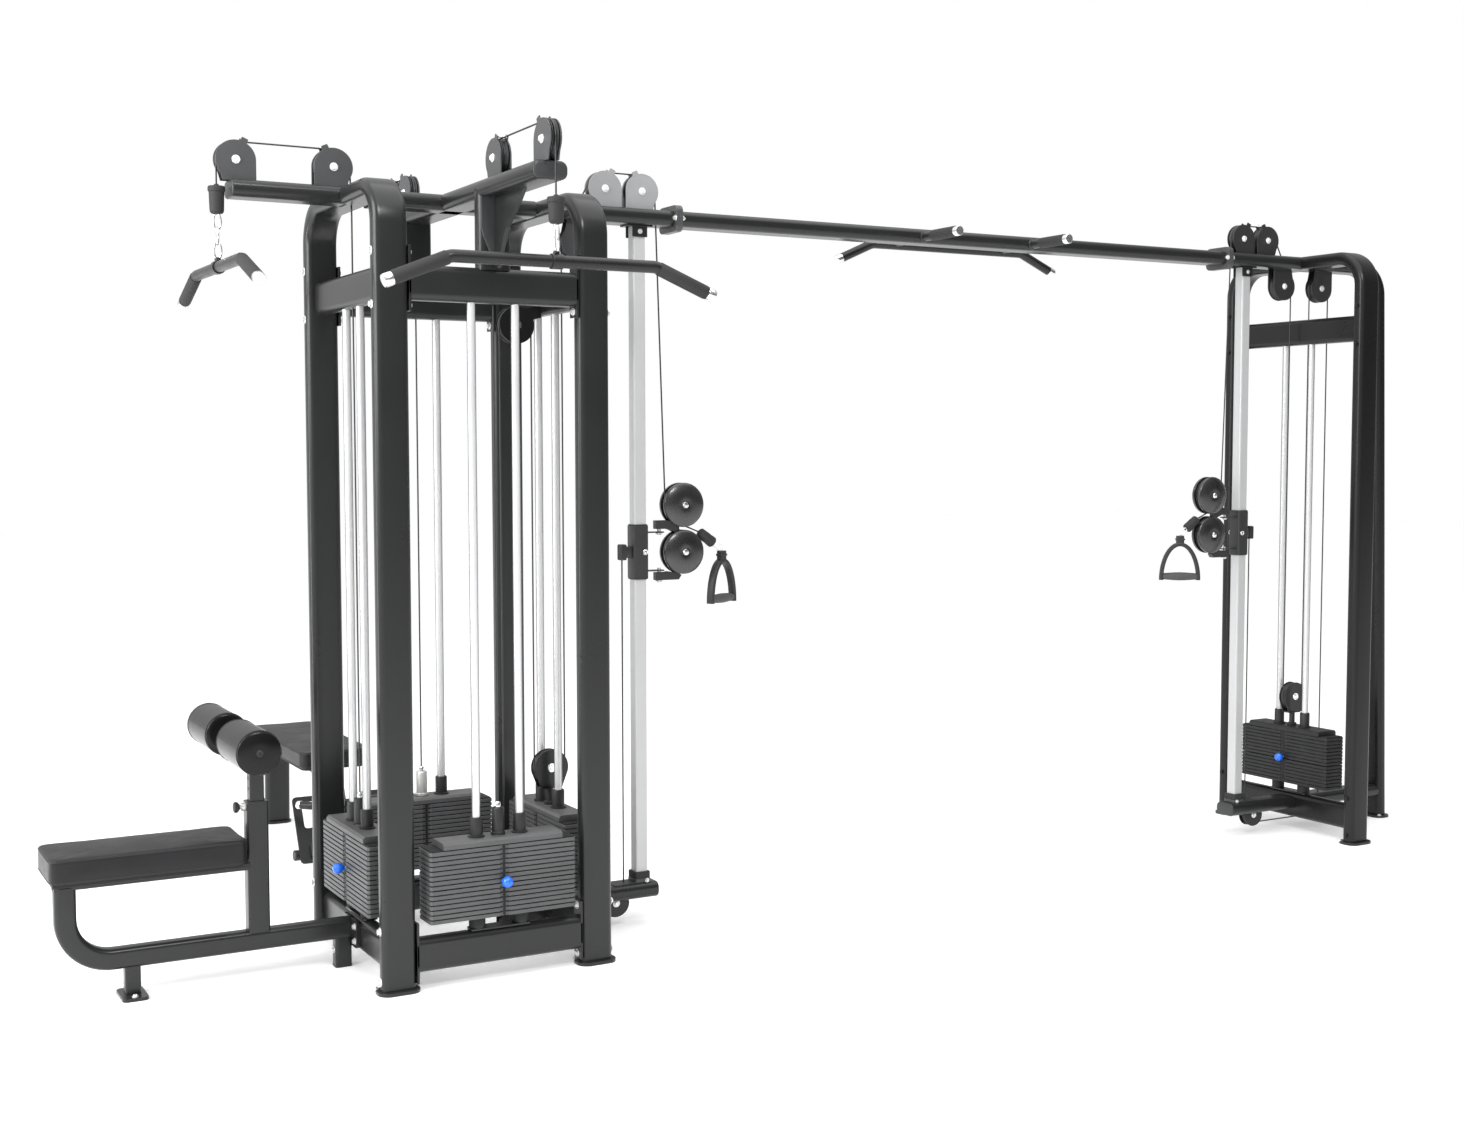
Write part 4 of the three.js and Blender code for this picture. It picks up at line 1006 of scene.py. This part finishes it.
def carriage(side, matrix):
    put = placer(side, matrix, "carriage_" + side)
    put("carriage_sleeve", sleeve(rounded(53, 53, 7, 5), rounded(42.8, 42.8, 4.5, 5),
                                  "z", -85, 85), "carriage", bevel=1.2, node="carriage_" + side)
    tabs = [prism(rounded(64, 34, 10, 5), "z", s * TAB - 2, s * TAB + 2, (59, 0, 0))
            for s in (-1, 1)]
    put("carriage_tabs", merge(*tabs), "carriage", bevel=0.8)
    wipers = [prism(rounded(51, 51, 8, 5), "z", *span) for span in ((-88, -85), (85, 89))]
    put("carriage_wipers", merge(*wipers), "plastic", bevel=1.0)
    for letter, s in (("a", -1), ("b", 1)):
        ring = loop(oval(Vector((12, s * 32, 0)), X * 7.5, Z * 7.5, 24), 1.8)
        boss = lathe(signed(RING_BOSS, s)[::s], "y", (12, 0, 0), 20)
        piece(f"carriage_ring_{side}_{letter}", placed(merge(ring, boss), matrix), "chrome",
              "carriage_" + side)
    put("carriage_knob_guide", prism(rounded(28, 36, 6, 5), "x", -46, -26), "carriage", bevel=0.8)
    put("carriage_knob", prism(rounded(32, 51, 6, 5), "x", -66, -46.5), "plastic",
        "height_knob_" + side, bevel=2.0, segments=3, node="carriage_pin_" + side)


def swivel(side, matrix):
    put = placer(side, matrix, "swivel_" + side)
    axles = (UPPER_AXLE, LOWER_AXLE)
    covers = [lathe(signed(DOME, k), "y", (AXLE_X, 0, z), 64) for k in (-1, 1) for z in axles]
    put("wheel_covers", merge(*covers), "dome", smooth=40, node="swivel_" + side)
    put("swivel_ears", merge(prism(UPPER_EAR, "y", -11, 11), prism(LOWER_EAR, "y", -11, 11)),
        "carriage", bevel=1.6)
    put("swivel_pins", merge(cylinder("z", 6, TAB - 8, TAB + 36, (PIN_X, 0, 0)),
                             cylinder("z", 6, -TAB - 36, -TAB + 8, (PIN_X, 0, 0)),
                             hex_head((PIN_X, 0, TAB - 3), -Z, 8, 4.5),
                             hex_head((PIN_X, 0, -TAB - 33), -Z, 8, 4.5)), "zinc", smooth=25)
    bolts = []
    for z in axles:
        bolts.append(cylinder("y", 6, -27, 27, (AXLE_X, 0, z)))
        bolts += [lathe(signed(AXLE_HEAD, s), "y", (AXLE_X, 0, z), 28) for s in (-1, 1)]
    put("swivel_axle_bolts", merge(*bolts), "chrome")
    for level, z in zip(("upper", "lower"), axles):
        node = f"carriage_wheel_{level}_{side}"
        wheel(f"swivel_wheel_{level}_{side}", "y", matrix @ Vector((AXLE_X, 0, z)),
              radius=64, width=16, body=node, node=node)


def handle(side, matrix, yaw):
    """Rope stop, snap hook and stirrup."""
    put = placer(side, matrix, "handle_" + side)
    stop = lathe([(0, -29), (6, -29), (13, -28), (16.4, -25), (17, -22), (17, -8), (17.8, -7),
                  (17.8, 7), (17.4, 8), (18.6, 24), (18.2, 32), (14, 36), (0, 37)], sides=36)
    put("rope_stop", placed(stop, aim(ROPE_STOP, ROPE_WAY)), "rubber")
    eye = ROPE_STOP + ROPE_WAY * 39
    hook_end = Vector((HANDLE_X, 0, HANDLE_Z + 6))
    hook_start = eye - (hook_end - X * 5 - eye).normalized() * 5
    reach = (hook_end - hook_start) / 2
    across = reach.normalized().cross(Y) * 9.5
    hook = oval((hook_start + hook_end) / 2, reach, across, 32)
    put("snap_hook", loop(hook, 2.6, 10), "bright")
    put = placer(side, matrix @ translate((HANDLE_X, 0, 0)) @ turn(yaw, "Z"), "handle_" + side)
    bow = in_plane(around(0, -176, -70, range(0, 181, 5), 138), "y")
    put("stirrup_bow", sweep(rounded(26, 15, 5, 4), bow, "y"), "plastic", smooth=45,
        node="handle_" + side)
    put("stirrup_neck", merge(prism(rounded(30, 24, 6, 5), "z", HANDLE_Z - 34, HANDLE_Z + 3),
                              prism(rounded(36, 28, 6, 5), "z", HANDLE_Z - 14, HANDLE_Z - 7)),
        "plastic", bevel=2.0)
    grip = [(0, -66), (11, -66), (12, -64), (13.6, -46), (15.2, -23), (16.0, 0), (15.2, 23),
            (13.6, 46), (12, 64), (11, 66), (0, 66)]
    put("stirrup_grip", lathe(grip, "x", (0, 0, -162), 32), "grip")


for side, x, degrees, yaw in (("right", COLUMN_X, 0, 30), ("far", far(COLUMN_X), 180, -36)):
    matrix = station_matrix(x, degrees)
    carriage(side, matrix)
    swivel(side, matrix)
    handle(side, matrix, yaw)

# ---------------------------------------------------------------- lat bars


def lat_bar(side, axis, at, half, middle, radius, stop, links, link_width, wire):
    """Bar with drooping ends in the plane square to axis, hung on a chain of links.
    half and middle are the half spans of the bar and its level part; stop is the
    bottom and top of the rope stop."""
    name, body = "lat_bar_" + side, "bar_" + side
    x, y, z = at
    low, high = stop
    corners = [(-half, z - 72), (-middle, z), (middle, z), (half, z - 72)]
    path = in_plane(fillet(corners, (50, 50), 10), axis, y if axis == "y" else x)
    piece(name + "_tube", sweep(circle(radius, 28), path, axis), "bar", body, name)
    cap = lathe([(0, -23), (radius + 0.9, -23), (radius + 1.3, -22), (radius + 1.3, -3),
                 (radius - 0.5, 1), (0, 2)], sides=32)
    piece(name + "_caps", at_tips(cap, path), "chrome", body)
    length = (path[0] - path[1]).length
    grip = hoop([(radius - 1, -length), (radius + 0.8, -length), (radius + 2.0, 2 - length),
                 (radius + 2.2, -30), (radius + 1.2, -25), (radius - 1, -24)], sides=32)
    piece(name + "_grips", at_tips(grip, path), "rubber", body)
    run = "x" if axis == "y" else "y"
    boss = lathe([(0, 0), (9, 0), (9, 5), (6, 9), (0, 9)], at=(x, y, z + radius + 3), sides=24)
    piece(name + "_saddle", merge(cylinder(run, radius + 3.5, -16, 16, at, 32), boss), "bar",
          body, bevel=0.8)
    bottom = z + radius + 10
    pitch = (low - 2 - bottom) / links
    rings = []
    for i in range(links):
        centre = Vector((x, y, bottom + (i + 0.5) * pitch))
        across = AXES[run] if i % 2 else AXES[run].cross(Z)
        rings.append(loop(oval(centre, across * link_width, Z * (pitch / 2 + 3.2), 24), wire))
    piece(name + "_chain", merge(*rings), "chrome", body)
    profile = [(0, low - 3), (9, low - 3), (16, low - 1), (19, low + 3), (20, low + 8),
               (21.5, high - 16), (24, high - 14), (24.4, high - 8), (24, high - 3), (22, high),
               (8, high), (6, high + 6), (0, high + 6)]
    piece(name + "_stop", lathe(profile, at=(x, y, 0)), "rubber", body)


lat_bar("front", "y", (0, FRONT_BAR_Y, 2031), half=470, middle=292, radius=17,
        stop=(2132, 2199), links=1, link_width=15.0, wire=3.8)
lat_bar("left", "x", (LEFT_BAR_X, 0, 2053), half=462, middle=270, radius=16,
        stop=(2205, 2280), links=3, link_width=10.5, wire=3.0)

# ---------------------------------------------------------------- seat frame and knee post
SEAT_X, MAST_X = -934, -617
OUTER_LEG_X, INNER_LEG_X = -972, -368
KNEE_X, KNEE_Z, KNOB_Z = -680.0, 712.0, 508
path = fillet([(-SIDE_X - 27, 116), (-1148, 116), (-1148, 335)], (125,), 18)
member("seat_rail", sweep(rounded(50, 60, 14), in_plane(path, "y"), "y"), node="seat_frame")
piece("seat_top_rail", prism(rounded(50, 30, 8, 5), "x", -1178, -646, (0, 0, 340)), "frame")
piece("seat_board", box(-1192, -660, -106, 106, 354, 365.5), "board", bevel=1.5)
piece("seat_bracket", merge(*[box(x - 16, x + 16, -60, 60, 351, 356) for x in (-1090, -760)]),
      "frame", bevel=1.0)
piece("seat_upright", sleeve(rounded(62, 50, 6, 5), rounded(43.2, 39.2, 4, 5), "z", 139, 524,
                             (MAST_X, 0, 0)), "frame", bevel=1.0)
piece("seat_leg_outer", prism(rounded(44, 40, 8), "z", 9, 93, (OUTER_LEG_X, 0, 0)), "frame")
piece("seat_foot_outer", prism(rounded(72, 120, 14), "z", 0, 10, (OUTER_LEG_X, 0, 0)), "frame",
      bevel=1.5)
for s in (-1, 1):
    bolt((OUTER_LEG_X, s * 44, 10), Z, 6.5, 5)
piece("seat_leg_inner", prism(rounded(50, 40, 8), "z", 3, 93, (INNER_LEG_X, 0, 0)), "frame")
piece("seat_leg_plug", prism(rounded(52, 42, 9), "z", 0, 8, (INNER_LEG_X, 0, 0)), "plastic",
      bevel=1.5)
bolt((INNER_LEG_X - 25, 0, 52), -X, 7, 5)
piece("seat_flange", prism(rounded(130, 84, 10, 5), "x", -SIDE_X - 37, -SIDE_X - 25,
                           (0, 0, 104)), "frame", bevel=1.2)
for s in (-1, 1):
    for z in (82, 126):
        bolt((-SIDE_X - 37, s * 50, z), -X, 7, 6)

KNEE_AXLE = (KNEE_X, 0, KNEE_Z)
piece("knee_mast", prism(rounded(42, 38, 4, 5), "z", 240, 718, (MAST_X, 0, 0)), "frame",
      "knee_post", "knee_post", bevel=0.8)
piece("knee_arm", prism(rounded(38, 26, 6, 5), "x", -668, -600, (0, 0, KNEE_Z)), "frame",
      "knee_post", bevel=0.8)
piece("knee_axle", cylinder("y", 9, -310, 310, KNEE_AXLE, 28), "chrome", "knee_post")
piece("knee_hub", hoop([(9, -19), (17, -19), (19, -17), (19, 17), (17, 19), (9, 19)],
                       "y", KNEE_AXLE, 32), "frame", "knee_post")
AXLE_END = [(4.5, 309), (9, 309), (9.5, 312.5), (8, 313.5), (5, 313), (4.5, 310)]
piece("knee_axle_ends",
      merge(*[hoop(signed(AXLE_END, s), "y", KNEE_AXLE, 28) for s in (-1, 1)],
            # the small discs fill the rings' bores with black plastic: painted shade in the bores
            *[cylinder("y", 5, 309.5 * s, 311 * s, KNEE_AXLE, 6) for s in (-1, 1)]),
      "plastic", "knee_post")
piece("knee_knob", lathe([(0, -17), (11, -17), (15, -15), (16, -11), (15.5, -6), (10, -2),
                          (8.5, 0), (0, 0)], "x", (-664, 0, KNOB_Z), 28),
      "plastic", "knee_knob", "knee_post_pin")
piece("knee_knob_shaft", cylinder("x", 5, -664, -642, (0, 0, KNOB_Z)), "zinc", "knee_knob")
piece("knee_knob_bush", hoop([(5.3, -660), (11, -660), (12, -658), (12, -648), (5.3, -648)],
                             "x", (0, 0, KNOB_Z), 24), "zinc")
# black discs on the mast face: painted shade of the adjustment holes
piece("knee_slot_shade", merge(*[cylinder("x", 5.5, -638.25, -637.4, (0, 0, z), 16)
                            for z in (560, 590, 620, 650)]), "dark", "knee_post")

# ---------------------------------------------------------------- padded pieces


def inflate(obj, pressure, limit, held_below):
    """Blows the cover up as cloth and keeps the result, moved by no more than limit.
    Vertices lower than held_below stay on the board."""
    rest = [v.co.copy() for v in obj.data.vertices]
    cloth = obj.modifiers.new("Cloth", "CLOTH")
    settings = cloth.settings
    settings.quality = 4
    settings.mass = 0.3
    settings.use_pressure = True
    settings.uniform_pressure_force = pressure
    settings.tension_stiffness = 40
    settings.compression_stiffness = 40
    settings.shear_stiffness = 20
    settings.bending_stiffness = 3
    settings.effector_weights.gravity = 0
    if held_below:
        group = obj.vertex_groups.new(name="held")
        for i, co in enumerate(rest):
            if co.z < held_below / 1000:
                group.add([i], 1.0, "REPLACE")
        settings.vertex_group_mass = "held"
        settings.pin_stiffness = 1.0
    cloth.point_cache.frame_start, cloth.point_cache.frame_end = 1, 20
    scene = bpy.context.scene
    for number in range(1, 21):
        scene.frame_set(number)
    blown = obj.evaluated_get(bpy.context.evaluated_depsgraph_get())
    shifts = [v.co - co for v, co in zip(blown.data.vertices, rest)]
    obj.modifiers.remove(cloth)
    scene.frame_set(1)
    most = max(shift.length for shift in shifts)
    share = 1.0 if most < limit / 1000 else limit / 1000 / most
    for vertex, co, shift in zip(obj.data.vertices, rest, shifts):
        vertex.co = co + shift * share


def cushion(name, geometry, body, node, limit, voxel=6.0, pressure=4.0, held_below=None,
            cover="vinyl"):
    obj = piece(name, geometry, "vinyl", None)
    bpy.context.view_layer.objects.active = obj
    for other in bpy.context.selected_objects:
        other.select_set(False)
    obj.select_set(True)
    obj.data.remesh_voxel_size = voxel / 1000
    bpy.ops.object.voxel_remesh()
    inflate(obj, pressure, limit, held_below)
    relax = obj.modifiers.new("relax", "SMOOTH")
    relax.factor, relax.iterations = 0.5, 6
    divide = obj.modifiers.new("sub", "SUBSURF")
    divide.levels = divide.render_levels = 1
    depsgraph = bpy.context.evaluated_depsgraph_get()
    final = bpy.data.meshes.new_from_object(obj.evaluated_get(depsgraph))
    obj.modifiers.clear()
    old = obj.data
    obj.data = final
    bpy.data.meshes.remove(old)
    final.polygons.foreach_set("use_smooth", [True] * len(final.polygons))
    final.materials.clear()
    final.materials.append(MATERIALS[cover])
    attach(obj, body)
    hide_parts(node)
    return obj


def draped(pad, points):
    """Points moved to the nearest place on a pad's cover."""
    mesh = pad.data
    tree = BVHTree.FromPolygons([v.co for v in mesh.vertices],
                                [list(p.vertices) for p in mesh.polygons])
    found = [tree.find_nearest(Vector(to_row(p)))[0] for p in points]
    return [co * 1000 - Vector((*CORE_MIDDLE, 0)) for co in found]


def dense(points, step=6.0):
    """Closed outline with its sides cut into lengths of about step."""
    cut = []
    for (x0, y0), (x1, y1) in zip(points, points[1:] + points[:1]):
        count = max(1, int(math.hypot(x1 - x0, y1 - y0) / step))
        cut += [(x0 + (x1 - x0) * j / count, y0 + (y1 - y0) * j / count) for j in range(count)]
    return cut


def bench_pad(name, node, x, y, length_x, length_y, corner, bottom, top, limit, held_below,
              outset, seams):
    """Flat cushion with piping; outset is the piping outline's growth in size and corner."""
    outline = moved(rounded(length_x, length_y, corner, 8), x, y)
    pad = cushion(name, prism(outline, "z", bottom, top), "frame", node, limit,
                  held_below=held_below)
    grow, corner_grow = outset
    outline = dense(moved(rounded(length_x + grow, length_y + grow, corner + corner_grow, 8),
                          x, y))
    for ending, z, radius in (("", seams[0], 1.6), ("_low", seams[1], 1.4)):
        ring = draped(pad, in_plane(outline, "z", z))
        piece(f"{name}_piping{ending}", loop(ring, radius), "seam")


ROW_Y = 1655
bench_pad("seat_cushion", "seat_pad", SEAT_X, 0, 534, 236, corner=24, bottom=364.6, top=435,
          limit=5.0, held_below=370, outset=(4, 2), seams=(428, 371))
bench_pad("row_cushion", "row_bench_pad", 0, ROW_Y, 268, 764, corner=32, bottom=368, top=428,
          limit=6.0, held_below=372, outset=(6, 2), seams=(422, 372.5))
piece("row_board", prism(rounded(250, 745, 26, 5), "z", 359, 368.5, (0, ROW_Y, 0)), "board",
      bevel=1.5)

# knee rollers, near (-Y) and far (+Y)
ROLLER = [(9.6, 61), (55, 61), (60, 63), (62, 67), (62, 303), (60, 308), (55, 310), (9.6, 310)]
ROLLER_CAP = [(9.6, 307.6), (55, 307.6), (57, 309.4), (54, 311), (20, 312.2), (9.6, 312.2)]
for side, k in (("near", -1), ("far", 1)):
    body = "roller_" + side
    roller = cushion("knee_roll_" + side, hoop(signed(ROLLER, k), "y", KNEE_AXLE, 56), body,
                     "knee_roller_" + side, 4.0, voxel=5.0, pressure=3.0, cover="roll_vinyl")
    rings = [oval(Vector((KNEE_X, y * k, KNEE_Z)), X * 66, Z * 66, 64) for y in (70, 301)]
    seams = merge(*[loop(draped(roller, ring), 1.6) for ring in rings])
    piece("knee_roll_seams_" + side, seams, "seam", body)
    piece("knee_roll_cap_" + side, hoop(signed(ROLLER_CAP, k), "y", KNEE_AXLE, 56),
          "roll_vinyl", body)

# ---------------------------------------------------------------- row handle
ROW_BAR_Y, ROW_BAR_Z = 1075, 270
path = in_plane(fillet([(-190, 1120), (-150, ROW_BAR_Y), (150, ROW_BAR_Y), (190, 1120)],
                       (30, 30), 8), "z", ROW_BAR_Z)
piece("row_bar_tube", sweep(circle(14, 24), path, "z"), "bar", "bar_row", "row_handle")
cap = lathe([(0, -14), (14.8, -14), (15.2, -13), (15.2, -2), (13, 2), (0, 2.5)], sides=24)
piece("row_bar_caps", at_tips(cap, path), "chrome", "bar_row")
ROW_GRIP = [(13, 40), (15.5, 40), (16.4, 44), (16.4, 128), (15.5, 132), (13, 132)]
piece("row_bar_grips", merge(*[hoop(signed(ROW_GRIP, s), "x", (0, ROW_BAR_Y, ROW_BAR_Z), 28)
                               for s in (-1, 1)]), "rubber", "bar_row")
piece("row_snap", loop(oval(Vector((0, 1036, ROW_BAR_Z)), X * 8, Y * 24, 24), 2.6), "chrome",
      "bar_row")
piece("row_eye", prism(rounded(12, 26, 4, 4), "z", 264, 276, (0, 1058, 0)), "zinc", "bar_row",
      bevel=0.8)
piece("row_stop", lathe([(0, 956), (9, 957), (14, 961), (15.5, 968), (15.5, 1004), (12, 1011),
                         (5, 1014), (0, 1014)], "y", (0, 0, ROW_BAR_Z), 28), "rubber", "bar_row")

# ---------------------------------------------------------------- cables
# Each top cable ends at SPLIT_Z; a stretched cable goes on from there to the stack.
SPLIT_Z = 1940
STEM_TOP = HEAD_TOP + 90


def stack_cable(side, x, y):
    stretch(f"cable_{side}_stack", (x, y, SPLIT_Z + 5), (x, y, STEM_TOP))


stretch("cable_front_bar", (0, FRONT_BAR_Y, WHEEL_Z), (0, FRONT_BAR_Y, 2198))
cable("cable_front_top", arc(FRONT_OUTER, WHEEL_Z, GROOVE_R, 180, 90, "x")
      + arc(FRONT_INNER, WHEEL_Z, GROOVE_R, 90, 0, "x") + [(0, -END_Y, SPLIT_Z)])
stack_cable("front", 0, -END_Y)

stretch("cable_left_bar", (LEFT_BAR_X, 0, WHEEL_Z), (LEFT_BAR_X, 0, 2278))
cable("cable_left_top", arc(LEFT_OUTER, WHEEL_Z, GROOVE_R, 180, 90)
      + arc(LEFT_INNER, WHEEL_Z, GROOVE_R, 90, 4) + [(-SIDE_X, 0, 2240), (-SIDE_X, 0, SPLIT_Z)])
stack_cable("left", -SIDE_X, 0)

row_turn = arc(ROW_WHEEL_Y, ROW_WHEEL_Z, GROOVE_R, 180, 292, "x")
cable("cable_row_top", [(0, END_Y, SPLIT_Z)] + arc(REAR_INNER, WHEEL_Z, GROOVE_R, 180, 90, "x")
      + arc(REAR_OUTER, WHEEL_Z, GROOVE_R, 90, 0, "x") + row_turn)
stack_cable("rear", 0, END_Y)
stretch("cable_row_handle", row_turn[-1], (0, 958, ROW_BAR_Z))


def station_cables(side, across, degrees):
    """Cables of a column station; across carries x to its tower."""
    carriage_body, stack_body = "carriage_" + side, "stack_" + side
    stretch(f"cable_{side}_drop", (across(RIGHT_OUTER + GROOVE_R), 0, WHEEL_Z),
            (across(COLUMN_X + AXLE_X - SWIVEL_GROOVE), 0, CARRIAGE_Z + UPPER_AXLE))
    # outer wheel, top span, inner wheel, then down through the beam to the wheel under it
    near_x, away_x = across(SIDE_X + GROOVE_R), across(SIDE_X - GROOVE_R)
    path = (arc(RIGHT_OUTER, WHEEL_Z, GROOVE_R, 0, 90)
            + arc(RIGHT_INNER, WHEEL_Z, GROOVE_R, 90, 152)
            + arc(SIDE_X + HANG, HANG_Z, GROOVE_R, 152, 180))
    cable(f"cable_{side}_top", [(across(p.x), 0, p.z) for p in path] + [(near_x, 0, 2120)])
    stretch(f"cable_{side}_down", (near_x, 0, 2125), (near_x, 0, TRAVEL_Z))
    cable(f"cable_{side}_loop", arc(across(SIDE_X), TRAVEL_Z, GROOVE_R, 180, 360), stack_body)
    if side == "right":
        up_z = DEFLECT_Z
        back = (arc(DEFLECT_X, DEFLECT_Z, GROOVE_R, 0, 180)
                + [(DEFLECT_X - GROOVE_R, 0, INNER_BASE_Z)]
                + arc(INNER_BASE_X, INNER_BASE_Z, BASE_GROOVE, 180, 274)
                + arc(BASE_X, BASE_WHEEL_Z, BASE_GROOVE, 274, 360))
    else:
        up_z = HANG_Z
        back = (arc(OUTER_X + HANG, HANG_Z, GROOVE_R, 180, 0)
                + [(OUTER_X + HANG + GROOVE_R, 0, BASE_WHEEL_Z)]
                + arc(OUTER_X + BASE_OFFSET, BASE_WHEEL_Z, BASE_GROOVE, 0, -90)
                + arc(far(BASE_X), BASE_WHEEL_Z, BASE_GROOVE, 270, 180))
    stretch(f"cable_{side}_up", (away_x, 0, up_z), (away_x, 0, TRAVEL_Z))
    cable(f"cable_{side}_return", back)
    anchor_x = across(BASE_X + BASE_GROOVE)
    stretch(f"cable_{side}_anchor", (anchor_x, 0, BASE_WHEEL_Z + 1),
            (anchor_x, 0, CARRIAGE_Z - 15))
    # round the upper carriage wheel and on to the rope stop
    matrix = station_matrix(across(COLUMN_X), degrees)
    wrap = [matrix @ p for p in arc(AXLE_X, UPPER_AXLE, SWIVEL_GROOVE, 180, 249)]
    cable(f"cable_{side}_wrap", wrap, "swivel_" + side)
    stretch(f"cable_{side}_handle", wrap[-1], matrix @ (ROPE_STOP - ROPE_WAY * 28))


station_cables("right", same, 0)
station_cables("far", far, 180)

piece("frame_bolts", merge(*frame_heads), "zinc", smooth=25)
# bolts of the outer tower in the darker coat: painted shade
piece("outer_tower_bolts", merge(*outer_heads), "frame_painted_shade", smooth=25)

# ---------------------------------------------------------------- studio, metres
scene = bpy.context.scene
FLOOR = 30.0
mesh = bpy.data.meshes.new("studio_floor")
mesh.from_pydata([(-FLOOR, -FLOOR, 0), (FLOOR, -FLOOR, 0), (FLOOR, FLOOR, 0),
                  (-FLOOR, FLOOR, 0)], [], [[0, 1, 2, 3]])
floor = bpy.data.objects.new("studio_floor", mesh)
scene.collection.objects.link(floor)
pale = bpy.data.materials.new("pale_floor")
pale.use_nodes = True
Graph(pale.node_tree).feed(pale.node_tree.nodes["Principled BSDF"], {
    "Base Color": (0.93, 0.93, 0.93, 1), "Roughness": 0.7, "Specular IOR Level": 0.2,
    "Emission Color": (1, 1, 1, 1), "Emission Strength": 0.22})
mesh.materials.append(pale)

scene.view_settings.view_transform = "Standard"
world = scene.world or bpy.data.worlds.new("world")
scene.world = world
world.use_nodes = True

# softbox room: bright above and to the left, darker in front; white to the camera
sky = Graph(world.node_tree)
way = sky.add("SeparateXYZ", {0: sky.add("TexCoord", {}).outputs["Generated"]}).outputs
left_glow = sky.remap(way["X"], (-0.9, 0.6), (0.70, 0.05))
top_glow = sky.remap(way["Z"], (0.1, 0.95), (0.0, 0.55))
rear_glow = sky.remap(way["Y"], (-0.9, 0.3), (-0.04, 0.28))
room = sky.math("ADD", sky.math("ADD", left_glow, top_glow), rear_glow)
camera_ray = sky.add("LightPath", {}).outputs["Is Camera Ray"]
strength = sky.add("Mix", {0: camera_ray, 2: room, 3: 1.0}, data_type="FLOAT").outputs[0]
sky.feed(world.node_tree.nodes["Background"], {"Strength": strength, "Color": (1, 1, 1, 1)})


def area_light(name, place, target, width, height, power):
    light = bpy.data.lights.new(name, "AREA")
    light.energy = power
    light.shape = "RECTANGLE"
    light.size = width
    light.size_y = height
    obj = bpy.data.objects.new(name, light)
    scene.collection.objects.link(obj)
    obj.location = place
    obj.rotation_euler = (Vector(target) - Vector(place)).to_track_quat("-Z", "Y").to_euler()
    return obj


area_light("key_left", place=(-3.6, -0.6, 3.2), target=(1.6, 0.5, 1.1), width=2.6, height=3.0,
           power=210)
area_light("fill_top", place=(1.8, -0.5, 5.2), target=(1.8, 0.4, 0.0), width=6.0, height=4.0,
           power=120)
area_light("front_top", place=(0.2, -4.6, 5.2), target=(1.6, 0.0, 1.0), width=2.0, height=1.0,
           power=170)
strip = area_light("edge_strip", place=(-3.6, 1.5, 1.0), target=(0.6, 0.4, 1.0), width=0.45,
                   height=3.2, power=60)
strip.visible_camera = False

lens = bpy.data.cameras.new("camera")
lens.sensor_width = 36.0
lens.lens = 43.288
lens.clip_end = 100
camera = bpy.data.objects.new("camera", lens)
scene.collection.objects.link(camera)
EYE = (-1874.6661, -5088.4178, 1532.2712)  # millimetres
YAW, PITCH_DOWN, ROLL = 0.5093524651, 0.0621702001, -0.0011031216  # radians
camera.matrix_world = (translate(to_row(EYE)) @ Matrix.Rotation(-YAW, 4, "Z")
                       @ Matrix.Rotation(math.pi / 2 - PITCH_DOWN, 4, "X")
                       @ Matrix.Rotation(ROLL, 4, "Z"))
scene.camera = camera
